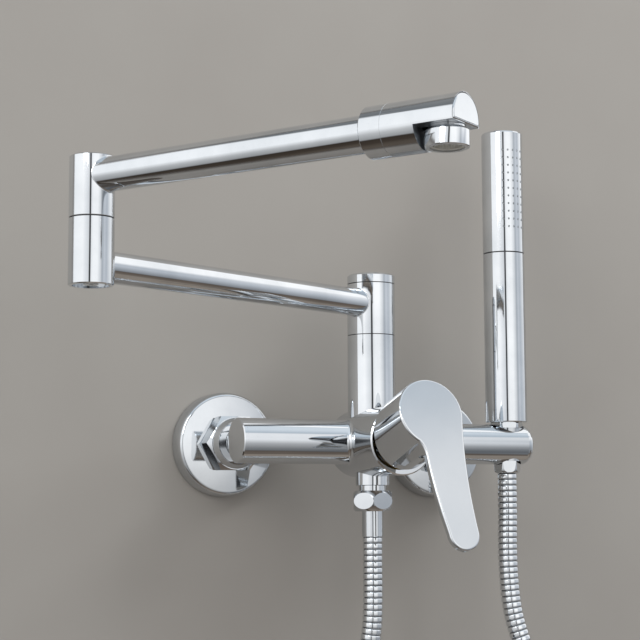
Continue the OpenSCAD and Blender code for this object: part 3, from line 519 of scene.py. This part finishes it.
def turned(profile, steps=ROUND_STEPS, centre=(0, 0, 0), axis=(0, 0, 1)):
    """A bmesh spun from (radius, height) points in mm. Points on the axis close it."""
    mesh = bmesh.new()
    points = [mesh.verts.new(Vector((r, 0, h)) * MM) for r, h in profile]
    closed = profile[0][0] > 0 and profile[-1][0] > 0
    edges = [mesh.edges.new(pair) for pair in zip(points, points[1:] + (points[:1] if closed else []))]
    bmesh.ops.spin(mesh, geom=points + edges, cent=(0, 0, 0), axis=(0, 0, 1), dvec=(0, 0, 0),
                   angle=2 * pi, steps=steps, use_merge=True)
    bmesh.ops.remove_doubles(mesh, verts=mesh.verts, dist=MERGE_M)
    bmesh.ops.recalc_face_normals(mesh, faces=mesh.faces)
    turn = Vector((0, 0, 1)).rotation_difference(Vector(axis)).to_matrix().to_4x4()
    mesh.transform(Matrix.Translation(Vector(centre) * MM) @ turn)
    return mesh


print("faces round a turned piece:", ROUND_STEPS)

# %% [markdown]
# ## Escutcheons
# The two round covers on the wall are pressed and spun from sheet, so their rims roll
# over softly and they are hollow behind. A bevelled disc would show a rim of one even
# radius. Half of the real profile is drawn instead, outside and inside, and spun.

# %% Escutcheons
SHEET, HOLE_R = 1.2, 14.6  # mm


def curve(a, b, c, parts=8):
    """Points on a soft corner from a to c that turns at b."""
    return [tuple((1 - t) ** 2 * p + 2 * t * (1 - t) * q + t * t * r for p, q, r in zip(a, b, c))
            for t in (k / parts for k in range(parts + 1))]


for side in ("left", "right"):
    low, high = extent("escutcheon_" + side)
    r, x, deep = (high.x - low.x) / 2, (low.x + high.x) / 2, -low.y - 1
    front = [(r - SHEET, 0), (r, 0)]
    front += curve((r - 0.2, -deep * 0.55), (r - 0.5, -deep + 0.2), (r - 3.2, -deep), 10)
    front += [(HOLE_R, -deep - 1)]
    hollow = [(HOLE_R, -deep + 0.2)]
    hollow += curve((r - 5, -deep + SHEET), (r - SHEET, -deep + SHEET), (r - SHEET, -deep * 0.5), 6)
    mesh = turned([(p, -h) for p, h in front + hollow], steps=128, centre=(x, 0, 0), axis=(0, -1, 0))
    stand_for(finish_piece("escutcheon_spun_" + side, mesh, chrome_sheet, "mixer"), "escutcheon_" + side)
print("escutcheon radius mm:", round(r, 2))

# %% [markdown]
# ## Hose nut
# The nut at the outlet is a barrel with six milled flats, each of which shows as an
# oval. A hexagon with bevelled corners never gives that oval. Turning the barrel first
# and cutting the flats after it does, just as the mill does.

# %% Hose nut
NUT_FLATS, BELLY, NUT_TURN = 23.4, 2.9, 36  # mm across, mm that the barrel bulges, degrees
MILLED_DEG = 11  # keeps the edge of a milled flat crisp


def with_flats(mesh, flats, turn=0.0):
    """Cuts six flats along a turned bmesh whose axis is Z through the origin."""
    for k in range(6):
        out = Vector((cos(radians(turn + 60 * k)), sin(radians(turn + 60 * k)), 0))
        cut = bmesh.ops.bisect_plane(mesh, geom=mesh.verts[:] + mesh.edges[:] + mesh.faces[:],
                                     dist=MERGE_M, plane_co=out * flats / 2 * MM, plane_no=out,
                                     clear_outer=True)["geom_cut"]
        bmesh.ops.edgeloop_fill(mesh, edges=[g for g in cut if isinstance(g, bmesh.types.BMEdge)])
    bmesh.ops.recalc_face_normals(mesh, faces=mesh.faces)
    return mesh


low, high = extent("hose_nut")
height = high.z - low.z
bulge = [(NUT_FLATS / sqrt(3) - BELLY * (2 * t - 1) ** 2, t * height) for t in (k / 20 for k in range(21))]
mesh = with_flats(turned([(0, 0)] + bulge + [(0, height)]), NUT_FLATS, turn=NUT_TURN)
mesh.transform(Matrix.Translation(Vector((0, BODY_Y, low.z)) * MM))
stand_for(finish_piece("hose_nut_milled", mesh, chrome_turned, "mixer", smooth=MILLED_DEG), "hose_nut")
print("hose nut height mm:", round(height, 2))

# %% [markdown]
# ## Conical nut
# The nut of the hand shower has finger flats above and below the plain taper that sits
# in its holder. Cutting flats into one cone would cut the taper too. So a foot, a middle
# and a head are turned singly, the outer two are milled, and the three are joined.

# %% Conical nut
FOOT_R, HEAD_R, TAPER = 8.2, 10.4, 10.0  # mm, the last one half the plain taper's height
FOOT_FLATS, HEAD_FLATS, FLATS_TURN, LAP = 15.2, 18.6, 10, 0.5  # mm, mm, degrees, mm


def joined(*parts):
    """One bmesh of several, each moved by its own shift in mm."""
    whole, shell = bmesh.new(), bpy.data.meshes.new("part")
    for mesh, shift in parts:
        mesh.transform(Matrix.Translation(Vector(shift) * MM))
        mesh.to_mesh(shell)
        mesh.free()
        whole.from_mesh(shell)
    bpy.data.meshes.remove(shell)
    return whole


def wide(z):
    """Radius of the cone at a height."""
    return FOOT_R + (HEAD_R - FOOT_R) / (high.z - low.z) * (z - low.z)


low, high = extent("cone_nut")
foot = [(0, low.z)] + curve((FOOT_R - 2.2, low.z), (FOOT_R, low.z), (wide(low.z + 3), low.z + 3))
foot += [(wide(-TAPER), -TAPER), (0, -TAPER)]
top = curve((wide(high.z - 1.2), high.z - 1.2), (HEAD_R, high.z), (HEAD_R - 1, high.z), 4)
top = [(0, TAPER), (wide(TAPER), TAPER)] + top + [(0, high.z)]
lap = TAPER + LAP
taper = [(0, -lap), (wide(-lap), -lap), (wide(lap), lap), (0, lap)]
at = (mid_of("cone_nut").x, BODY_Y, 0)
mesh = joined((with_flats(turned(foot), FOOT_FLATS, FLATS_TURN), at),
              (with_flats(turned(top), HEAD_FLATS, FLATS_TURN), at), (turned(taper), at))
stand_for(finish_piece("cone_nut_milled", mesh, chrome_turned, "hose_end", smooth=MILLED_DEG), "cone_nut")
print("conical nut height mm:", round(high.z - low.z, 2))

# %% [markdown]
# ## Aerator honeycomb
# The insert in the spout's outlet is a plastic moulding with thin walls between
# six-sided cells, which keeps the stream straight. A picture of cells would look flat
# from below. So six-sided faces are laid out, each is inset, the middles are taken away,
# and the web that is left is drawn up to its depth.

# %% Aerator honeycomb
CELL, WEB, GRID_R, GRID_DEEP = 1.55, 0.16, 6.7, 2.5  # mm
CELLS_OUT, SAME_CORNER = 6, 0.02  # cells each way from the middle, mm
low, high = extent("aerator_insert")
centre, face = (low + high) / 2, low.z
cells = bmesh.new()
for row in range(-CELLS_OUT, CELLS_OUT + 1):
    for column in range(-CELLS_OUT, CELLS_OUT + 1):
        x, y = CELL * (column + (row % 2) / 2), CELL * row * sqrt(0.75)
        if hypot(x, y) < GRID_R:
            place = Matrix.Translation(Vector((x, y, 0)) * MM) @ Matrix.Rotation(pi / 6, 4, "Z")
            bmesh.ops.create_circle(cells, cap_ends=True, segments=6, matrix=place,
                                    radius=CELL / sqrt(3) * MM)
bmesh.ops.remove_doubles(cells, verts=cells.verts, dist=SAME_CORNER * MM)
web = set(bmesh.ops.inset_individual(cells, faces=cells.faces[:], thickness=WEB * MM)["faces"])
bmesh.ops.delete(cells, geom=[f for f in cells.faces if f not in web], context="FACES")
walls = bmesh.ops.extrude_face_region(cells, geom=cells.faces[:])["geom"]
raised = [g for g in walls if isinstance(g, bmesh.types.BMVert)]
bmesh.ops.translate(cells, verts=raised, vec=(0, 0, GRID_DEEP * MM))
bmesh.ops.recalc_face_normals(cells, faces=cells.faces)
print("honeycomb faces:", len(cells.faces))
RIM_R, height = 7.85, high.z - low.z
rim = turned([(RIM_R, 0), (RIM_R, height), (0, height), (0, 2.4), (GRID_R, 2.4), (GRID_R, 0.3), (6.95, 0)])
mesh = joined((cells, (centre.x, centre.y, face + 0.25)), (rim, (centre.x, centre.y, face)))
stand_for(finish_piece("aerator_honeycomb", mesh, plastic_pom, "upper_spout"), "aerator_insert")

# %% [markdown]
# ## Threads of the wall unions
# The unions screw into the wall with a pipe thread. Rings stacked like discs would look
# like one from afar, but a thread climbs. So each ring of points follows the helix: its
# radius rises and falls once on the way round, a little further round from ring to ring,
# and fades out at both ends as a die leaves it. A bridge joins the rings.

# %% Threads of the wall unions
PITCH, DEPTH, MAJOR_R = 1.814, 1.162, 10.475  # mm, the G1/2 pipe thread
RUN_OUT, PITCH_RINGS, STEPS = 1.2, 8, 48  # mm, rings in one pitch, points in a ring
for side in ("left", "right"):
    low, high = extent("wall_union_" + side)
    length, rings = high.y, []
    count = round(length / PITCH * PITCH_RINGS)
    for h in (length * k / count for k in range(count + 1)):
        ease = min(1.0, h / RUN_OUT, (length - h) / RUN_OUT)
        turns = [(h / PITCH - j / STEPS) % 1 for j in range(STEPS)]
        radii = [MAJOR_R - DEPTH * (1 - ease * (1 - abs(2 * turn - 1))) for turn in turns]
        rings.append([Vector((r * cos(2 * pi * j / STEPS), r * sin(2 * pi * j / STEPS), h))
                      for j, r in enumerate(radii)])
    union = turned([(8, length + 0.05), (9.2, length + 0.05), (9.2, 0.02), (13.8, 0.02), (13.8, -4),
                    (12.2, -4), (12.2, -12.2), (13.2, -12.2), (13.2, -25.5), (8, -25.5)], 64)
    mesh = joined((bridged(rings), (0, 0, 0)), (union, (0, 0, 0)))
    place = Matrix.Translation((mid_of("wall_union_" + side).x * MM, 0, 0))
    mesh.transform(place @ Matrix.Rotation(-pi / 2, 4, "X"))
    stand_for(finish_piece("union_threaded_" + side, mesh, brass_turned, "mixer"), "wall_union_" + side)
print("thread turns:", round(length / PITCH, 1))

# %% [markdown]
# ## Nozzle tips
# The sprayer's holes carry soft silicone tips that can be rubbed clean of lime. Holes
# cut into the tube would cost many faces and show little. Each tip is a tiny cup, turned
# with few faces and set on the tube's skin, and one mesh holds all of them.

# %% Nozzle tips
ROWS, COLUMNS, ROW_STEP, COLUMN_DEG = 11, 5, 5.0, 15.0  # counts, mm, degrees
WAND_R, CAP_TO_ROW = 13.3, 13.0  # mm
CUP = [(0, -1.2), (0.56, -1.2), (0.52, 0.12), (0.40, 0.30), (0.22, 0.34), (0.16, 0.1), (0, 0.05)]
WAND_X = round(mid_of("wand_grip").x, 3)  # mm
lowest = extent("wand_cap")[1].z - CAP_TO_ROW - ROW_STEP * (ROWS - 1)
tips = []
for row in range(ROWS):
    for column in range(COLUMNS):
        a = radians(COLUMN_DEG * (column - (COLUMNS - 1) / 2))
        out = Vector((sin(a), -cos(a), 0))
        place = Vector((WAND_X, BODY_Y, lowest + ROW_STEP * row)) + out * WAND_R
        tips.append((turned(CUP, 10, axis=out), place))
finish_piece("nozzle_tips", joined(*tips), silicone_grey, "hand_shower")
print("nozzle tips:", len(tips))

# %% [markdown]
# ## Diverter spring
# Behind the button a small steel spring returns the diverter. Its ends lie flat, and
# the turns between them climb. A curve with a round section could draw it. A circle spun
# round the axis does it with one operator: level, then with a climb at each step, and
# level again. As the button goes down, it is squashed towards its lower end.

# %% Diverter spring
WIRE_R, SPRING_R, TURNS, LEVEL = 0.45, 6.65, 4.5, 0.75  # mm, mm, turns, turns at each end
TURN_STEPS = 20
low, high = extent("diverter_spring")
mesh = bmesh.new()
place = Matrix.Translation(Vector((SPRING_R, BODY_Y, low.z + WIRE_R)) * MM)
section = bmesh.ops.create_circle(mesh, segments=8, radius=WIRE_R * MM,
                                  matrix=place @ Matrix.Rotation(pi / 2, 4, "X"))["verts"]
section += mesh.edges[:]
for turns, climb in ((LEVEL, 0), (TURNS - 2 * LEVEL, high.z - low.z - 2 * WIRE_R), (LEVEL, 0)):
    steps = round(turns * TURN_STEPS)
    section = bmesh.ops.spin(mesh, geom=section, cent=(0, BODY_Y * MM, 0), axis=(0, 0, 1), steps=steps,
                             angle=2 * pi * turns, dvec=(0, 0, climb / steps * MM))["geom_last"]
bmesh.ops.edgeloop_fill(mesh, edges=[edge for edge in mesh.edges if edge.is_boundary])
bmesh.ops.recalc_face_normals(mesh, faces=mesh.faces)
spring = stand_for(finish_piece("spring_wire", mesh, steel_drawn, "mixer"), "diverter_spring")
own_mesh(spring)
print("spring length mm:", round(high.z - low.z, 2))

# %% [markdown]
# ## The hose's route
# The hose hangs from the outlet, lies two and a half times round in a loose coil below
# the mixer, and climbs to the hand shower. It could be a curve object with a round
# section, but the ridges have to be spaced along it. So its route is worked out as
# points: the ones that the frame's own hose follows, a smooth line through them, and
# even steps along that line.

# %% Route of the hose
HOSE_R, RIDGE_PITCH = 6.3, 3.65  # mm
COIL_X, COIL_Z, COIL_R = 56.0, -214.0, 72.0  # mm
COIL_Y, COIL_PITCH, COIL_TURNS = -46.0, 13.0, 2.5  # mm, mm, turns
CONE_Z = round(extent("cone_nut")[0].z, 3)  # mm
low_route = [(0, -62, -57.4), (0, -62, -75), (0, -62, -92), (-0.5, -61.5, -110),
             (-2.5, -59.5, -128), (-6, -56, -147), (-10.5, -51.5, -167),
             (-14.3, -47.6, -188), (-16, -46, -214)]
top_route = [(128, -78.5, -214), (127, -77.5, -194), (121, -74.5, -172),
             (112.8, -70.6, -151), (104.4, -66.6, -129), (98.7, -63.4, -107),
             (96.5, -62.2, -85), (96, -62, -63), (WAND_X, -62, -43), (WAND_X, -62, CONE_Z)]


def smooth_line(points, before=None, after=None, parts=24):
    """Catmull-Rom curve through the points, as many short steps."""
    p = [Vector(q) for q in points]
    p = [before or 2 * p[0] - p[1]] + p + [after or 2 * p[-1] - p[-2]]
    line = []
    for a, b, c, d in zip(p, p[1:], p[2:], p[3:]):
        for k in range(parts):
            t = k / parts
            line.append(0.5 * (2 * b + (c - a) * t + (2 * a - 5 * b + 4 * c - d) * t * t
                               + (3 * b - a - 3 * c + d) * t ** 3))
    return line + [p[-2]]


def even_steps(line, step):
    """The same line at even steps, and its length."""
    runs = [(b - a).length for a, b in zip(line, line[1:])]
    total, count = sum(runs), max(2, round(sum(runs) / step))
    even, at, done = [line[0]], 0, 0.0
    for k in range(1, count):
        goal = total * k / count
        while done + runs[at] < goal:
            done += runs[at]
            at += 1
        even.append(line[at].lerp(line[at + 1], (goal - done) / runs[at]))
    return even + [line[-1]], total


def coil_point(turns):
    """The middle of the hose, some turns after the coil begins."""
    a = pi + 2 * pi * turns
    return Vector((COIL_X + COIL_R * cos(a), COIL_Y - COIL_PITCH * turns, COIL_Z + COIL_R * sin(a)))


coil_line = [coil_point(k / 96) for k in range(1, round(96 * COIL_TURNS) + 1)]
lower_line = smooth_line(low_route, after=coil_point(0.05)) + coil_line
upper_line = smooth_line(top_route, before=coil_point(COIL_TURNS - 0.05))
print("hose lengths mm:", [round(even_steps(line, 5)[1]) for line in (lower_line, upper_line)])

# %% [markdown]
# ## The corrugated tube
# The hose is wound from a folded steel strip, and each turn of it makes a ridge, 3.65 mm
# after the last. A normal map would leave its outline smooth. So a straight tube is spun
# from the profile of the ridges, and each of its rings is then carried to its place on
# the route, square to it. A frame that is passed on from step to step keeps the tube
# from twisting.

# %% Corrugated hose
VALLEY = 0.870  # radius in a fold, as a share of the ridge's
RIDGE = [(0.0, VALLEY), (0.06, 0.905), (0.13, 0.975), (0.20, 0.996), (0.32, 1.0), (0.68, 1.0),
         (0.80, 0.996), (0.87, 0.975), (0.94, 0.905)]  # share of the pitch, share of the radius


def corrugated(name, line, body, sides=20):
    """One length of hose along a line. Returns the piece, the points it follows and its length."""
    ridges = round(even_steps(line, RIDGE_PITCH)[1] / RIDGE_PITCH)
    profile = [(r * HOSE_R, k + s) for k in range(ridges) for s, r in RIDGE]
    mesh = turned([(0, 0)] + profile + [(VALLEY * HOSE_R, ridges), (0, ridges)], steps=sides)
    even, length = even_steps(line, RIDGE_PITCH / 4)
    frames, side = [], Vector((0, 1, 0))
    for k, point in enumerate(even):
        ahead = (even[min(k + 1, len(even) - 1)] - even[max(k - 1, 0)]).normalized()
        side = (side - side.dot(ahead) * ahead).normalized()
        frames.append((point, side, ahead.cross(side)))
    depth = mesh.verts.layers.float.new("ridge")
    for v in mesh.verts:
        x, y, share = v.co / MM
        v[depth] = max(0.0, (hypot(x, y) / HOSE_R - VALLEY) / (1 - VALLEY))
        at = min(share / ridges * (len(even) - 1), len(even) - 1.000001)
        k, t = int(at), at - int(at)
        (p, a, b), (q, c, d) = frames[k], frames[k + 1]
        v.co = (p.lerp(q, t) + a.lerp(c, t) * x + b.lerp(d, t) * y) * MM
    piece = finish_piece(name, mesh, strip_wound, body, smooth=0)
    return piece, [p * MM for p in even], length * MM


hose_low, low_path, low_length = corrugated("hose_from_outlet", lower_line, "mixer")
hose_top, top_path, top_length = corrugated("hose_to_hand_shower", upper_line, None)
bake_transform(hose_top)
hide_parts("hose_low_run", "hose_coil")
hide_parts("hose_top_run")
print("hose m:", round(low_length, 3), "+", round(top_length, 3))

# %% [markdown]
# ## The strap round the coil
# A rubber strap keeps the turns together. It could be bent along a path as the hose is,
# but a flat band round two tubes is simpler than that: a circle is pulled out to the
# width of two turns and drawn to the strap's width, and Solidify gives it its thickness.

# %% Strap
STRAP_W, STRAP_T, STRAP_GAP = 12.0, 1.2, 0.15  # mm
strap_top = (coil_point(0.75) + coil_point(1.75)) / 2
mesh = bmesh.new()
bmesh.ops.create_circle(mesh, segments=48, radius=(HOSE_R + STRAP_GAP + STRAP_T) * MM)
for way in (-1, 1):
    half = [v for v in mesh.verts if v.co.x * way > MERGE_M]
    bmesh.ops.translate(mesh, verts=half, vec=(way * COIL_PITCH / 2 * MM, 0, 0))
wall = bmesh.ops.extrude_edge_only(mesh, edges=mesh.edges[:])["geom"]
drawn = [g for g in wall if isinstance(g, bmesh.types.BMVert)]
bmesh.ops.translate(mesh, verts=drawn, vec=(0, 0, STRAP_W * MM))
bmesh.ops.recalc_face_normals(mesh, faces=mesh.faces)
mesh.transform(Matrix.Translation((0, 0, -STRAP_W / 2 * MM)))
along_coil = Matrix(((0, 0, 1), (1, 0, 0), (0, 1, 0))).to_4x4()
mesh.transform(Matrix.Translation(strap_top * MM) @ along_coil)
strap = finish_piece("hose_strap", mesh, rubber_epdm, "mixer")
thick = strap.modifiers.new("strap thickness", "SOLIDIFY")
thick.thickness, thick.offset = STRAP_T * MM, -1.0
edge_radius(strap, 0.35, 2)
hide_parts("hose_tie")
print("strap round the turns at mm:", [round(c) for c in strap_top])

# %% [markdown]
# ## The wall
# The mixer is screwed to a pale wall, so a plain wall is what it is shown on. It is
# painted with a roller in a washable paint that has a low sheen, and the roller leaves
# large patches of nearly the same tone. A room with corners could stand behind it, but
# chrome would mirror every corner. So it is one plane, which turns darker outside an
# oval round the mixer, a painted shade that stands for the lamps' light falling off,
# and then fades out. It is see-through from behind, so that the part can be looked at
# from there too.

# %% Wall
WALL, SET_BACK, ROLLER_MM = 2.4, 0.4, 250  # m on a side, mm, mm across a patch left by the roller
OVAL_MIDDLE, OVAL_HALF = (0.015, 0, 0.105), (0.33, 1, 0.6)  # m
FACTOR, COLOUR_A, COLOUR_B, MIXED = 0, 6, 7, 2  # sockets of a Mix node set to colours
wall_paint, tree, shader, place = blank("pale washable wall paint")
roller = add(tree, "TexNoise", [("Vector", place, "Object")], Scale=1 / (ROLLER_MM * MM), Detail=5.0)
tone = with_stops(add(tree, "ValToRGB", [("Fac", roller, "Fac")]), (0.3, "#9E9992"), (0.7, "#958F88"))
oval = add(tree, "Mapping", [("Vector", place, "Object")], vector_type="TEXTURE",
           Location=OVAL_MIDDLE, Scale=OVAL_HALF)
away = add(tree, "VectorMath", [(0, oval, "Vector")], operation="LENGTH")
# painted shade: outside the oval the wall's colour darkens to #69635D, as if the lamps' light fell off
# there
painted_falloff, faded = (add(tree, "MapRange", [("Value", away, "Value")], interpolation_type="SMOOTHSTEP",
                     From_Min=near, From_Max=far) for near, far in ((1.15, 1.6), (1.4, 2.0)))
tone_and_painted_falloff = add(tree, "Mix", [(FACTOR, painted_falloff, "Result"), (COLOUR_A, tone, "Color")], data_type="RGBA")
tone_and_painted_falloff.inputs[COLOUR_B].default_value = linear("#69635D")
feed(tree, shader, Base_Color=(tone_and_painted_falloff, MIXED))
shader.inputs["Roughness"].default_value = 0.5
clear = add(tree, "BsdfTransparent")
side = add(tree, "NewGeometry")
unseen = add(tree, "Math", [(0, side, "Backfacing"), (1, faded, "Result")], operation="MAXIMUM")
either = add(tree, "MixShader", [(0, unseen, "Value"), (1, shader, "BSDF"), (2, clear, "BSDF")])
tree.links.new(either.outputs[0], tree.nodes["Material Output"].inputs["Surface"])

mesh = bmesh.new()
upright = Matrix.Translation((0, SET_BACK * MM, 0)) @ Matrix.Rotation(pi / 2, 4, "X")
bmesh.ops.create_grid(mesh, x_segments=1, y_segments=1, size=WALL / 2, matrix=upright)
plane = finish_piece("wall", mesh, wall_paint, None, smooth=0)
plane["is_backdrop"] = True
print("wall m:", [round(v, 2) for v in plane.dimensions])

# %% [markdown]
# ## The lamps
# Chrome shows a lamp as a hard bright spot, so a studio lights it with wide panels of
# cloth. A sun or a point lamp would give small hard sparks. Two wide Area lamps stand
# for the panels: one on the left, which also draws the bright rims, and one above on
# the right, which lights the wall and the soft pieces but is kept out of reflections.

# %% Lamps
def softbox(name, place, target, width, height, watts, colour):
    """A lit panel of cloth, in metres, that faces a target."""
    light = bpy.data.lights.new(name, "AREA")
    light.shape, light.size, light.size_y = "RECTANGLE", width, height
    light.energy, light.color = watts, linear(colour)[:3]
    lamp = bpy.data.objects.new(name, light)
    lamp.location = place
    lamp.rotation_euler = (Vector(target) - Vector(place)).to_track_quat("-Z", "Y").to_euler()
    lamp.visible_camera = False
    bpy.context.scene.collection.objects.link(lamp)
    return lamp


middle = (-0.02, -0.1, 0.05)
softbox("left panel", (-1.3, -1.1, 0.9), middle, 0.7, 0.9, 8, "#FBFDFF")
softbox("top panel", (0.8, -0.8, 1.3), middle, 0.8, 0.6, 15, "#F6FAFF").visible_glossy = False

# %% [markdown]
# ## The round of panels
# All that polished chrome shows is the room round it. An even room would make it look
# like grey plastic, and a real room could be built out of boards. A world that is painted
# by direction is lighter than that: pale panels stand all round, each with its own grey,
# and one narrow dark gap between two of them draws the dark line down every tube.

# %% Panels by bearing
world = bpy.data.worlds.new("studio")
bpy.context.scene.world = world
world.use_nodes = True
tree = world.node_tree
direction = add(tree, "TexCoord")
parts = add(tree, "SeparateXYZ", [("Vector", direction, "Generated")])
back = add(tree, "Math", [(0, parts, "Y")], operation="MULTIPLY")
back.inputs[1].default_value = -1.0
bearing = add(tree, "Math", [(0, parts, "X"), (1, back, "Value")], operation="ARCTAN2")
around = add(tree, "MapRange", [("Value", bearing, "Value")], From_Min=-pi, From_Max=pi)
greys = {  # degrees from straight ahead of the wall, to the right
    -134: "#9A9793", -114: "#F2F4F6", -60: "#FFFFFF", -44: "#ECEDEF", -30: "#DDDFE1",
    -26.5: "#343436", -21.5: "#343436", -18: "#F0F1F2", -8: "#FFFFFF", 13: "#FFFFFF",
    31: "#D6D8DB", 37: "#B4B8BD", 43: "#B2B7BD", 49: "#C9CDD3", 64: "#BABFC6", 82: "#C6CACF",
    100: "#DCDFE2", 110: "#9A9793",
}
panels = with_stops(add(tree, "ValToRGB", [("Fac", around, "Result")]),
                    *(((angle + 180) / 360, grey) for angle, grey in greys.items()))
print("panels all round:", len(greys), "greys")

# %% [markdown]
# ## The panels from foot to top
# A cloth panel is darker towards its foot, because its lamp hangs high, and a wall that
# is lit from the side grows white towards its top. One grey per panel would leave every
# slanted face too even. So the panels are darkened by height, and two corners, far right
# and high right, turn to white.

# %% Panels by height
rise = add(tree, "MapRange", [("Value", parts, "Z")], From_Min=-1, From_Max=1)  # 0 to 1
shade = with_stops(add(tree, "ValToRGB", [("Fac", rise, "Result")]),
                   (0.19, "#8D8D8D"), (0.38, "#C0C0C0"), (0.54, "#FFFFFF"))
corners = []
for low, high, start, stop in ((0.535, 0.63, 66, 86), (0.62, 0.71, 12, 66)):  # rise, degrees
    up = add(tree, "MapRange", [("Value", rise, "Result")], From_Min=low, From_Max=high)
    right = add(tree, "MapRange", [("Value", bearing, "Value")],
                From_Min=radians(start), From_Max=radians(stop))
    corners.append(add(tree, "Math", [(0, up, "Result"), (1, right, "Result")], operation="MULTIPLY"))
whiter = add(tree, "Math", [(0, corners[0], "Value"), (1, corners[1], "Value")], operation="MAXIMUM")
graded = add(tree, "Mix", [(FACTOR, whiter, "Value"), (COLOUR_A, panels, "Color")], data_type="RGBA")
graded.inputs[COLOUR_B].default_value = linear("#FFFFFF")
lit = add(tree, "Mix", [(COLOUR_A, graded, MIXED), (COLOUR_B, shade, "Color")],
          data_type="RGBA", blend_type="MULTIPLY")
lit.inputs[FACTOR].default_value = 1.0
print("corners that turn to white:", len(corners))

# %% [markdown]
# ## Floor and ceiling
# Below and above the panels the room goes on: a dim warm floor and a cool ceiling. They
# close the long reflections on tubes and draw the dark foot of each of them. Two planes
# could stand for them. A ramp by height is enough. On the far left and on the right the
# panels stand higher, so the height is lowered there before the ramp reads it.

# %% Floor and ceiling
ROOM_LIGHT = 1.3  # how brightly the whole room shines
height, sides = (rise, "Result"), []
for start, stop, drop in ((-60, -88, 0.09), (56, 66, 0.2)):  # degrees, rise
    sideways = add(tree, "MapRange", [("Value", bearing, "Value")],
                   From_Min=radians(start), From_Max=radians(stop))
    lowered = add(tree, "Math", [(0, sideways, "Result"), (2, *height)], operation="MULTIPLY_ADD")
    lowered.inputs[1].default_value = -drop
    height = lowered, "Value"
    sides.append(sideways)
far_left = sides[0]  # where floor and ceiling are dimmer too
inside = with_stops(add(tree, "ValToRGB", [("Fac", *height)]),
                    (0.12, "#000000"), (0.15, "#FFFFFF"), (0.765, "#FFFFFF"), (0.795, "#000000"))
ends = with_stops(add(tree, "ValToRGB", [("Fac", *height)]),
                  (0.0, "#857C73"), (0.045, "#675E56"), (0.11, "#5E554E"), (0.13, "#544D47"),
                  (0.5, "#3A3532"), (0.76, "#A3AEB9"), (0.88, "#D3DBE2"))
dimmed = add(tree, "Mix", [(FACTOR, far_left, "Result"), (COLOUR_A, ends, "Color")],
             data_type="RGBA", blend_type="MULTIPLY")
dimmed.inputs[COLOUR_B].default_value = linear("#A19D99")
room = add(tree, "Mix", [(FACTOR, inside, "Color"), (COLOUR_A, dimmed, MIXED),
                                   (COLOUR_B, lit, MIXED)], data_type="RGBA")
tree.links.new(room.outputs[MIXED], tree.nodes["Background"].inputs["Color"])
tree.nodes["Background"].inputs["Strength"].default_value = ROOM_LIGHT
print("nodes of the room:", len(tree.nodes))

# %% [markdown]
# ## Sizes and the end
# A finished mixer is measured before it is packed, and the box of the dressed part is
# printed.

# %% Sizes and the end
low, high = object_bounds()
print("dressed part, box mm:", [round(v / MM) for v in (*low, *high)])
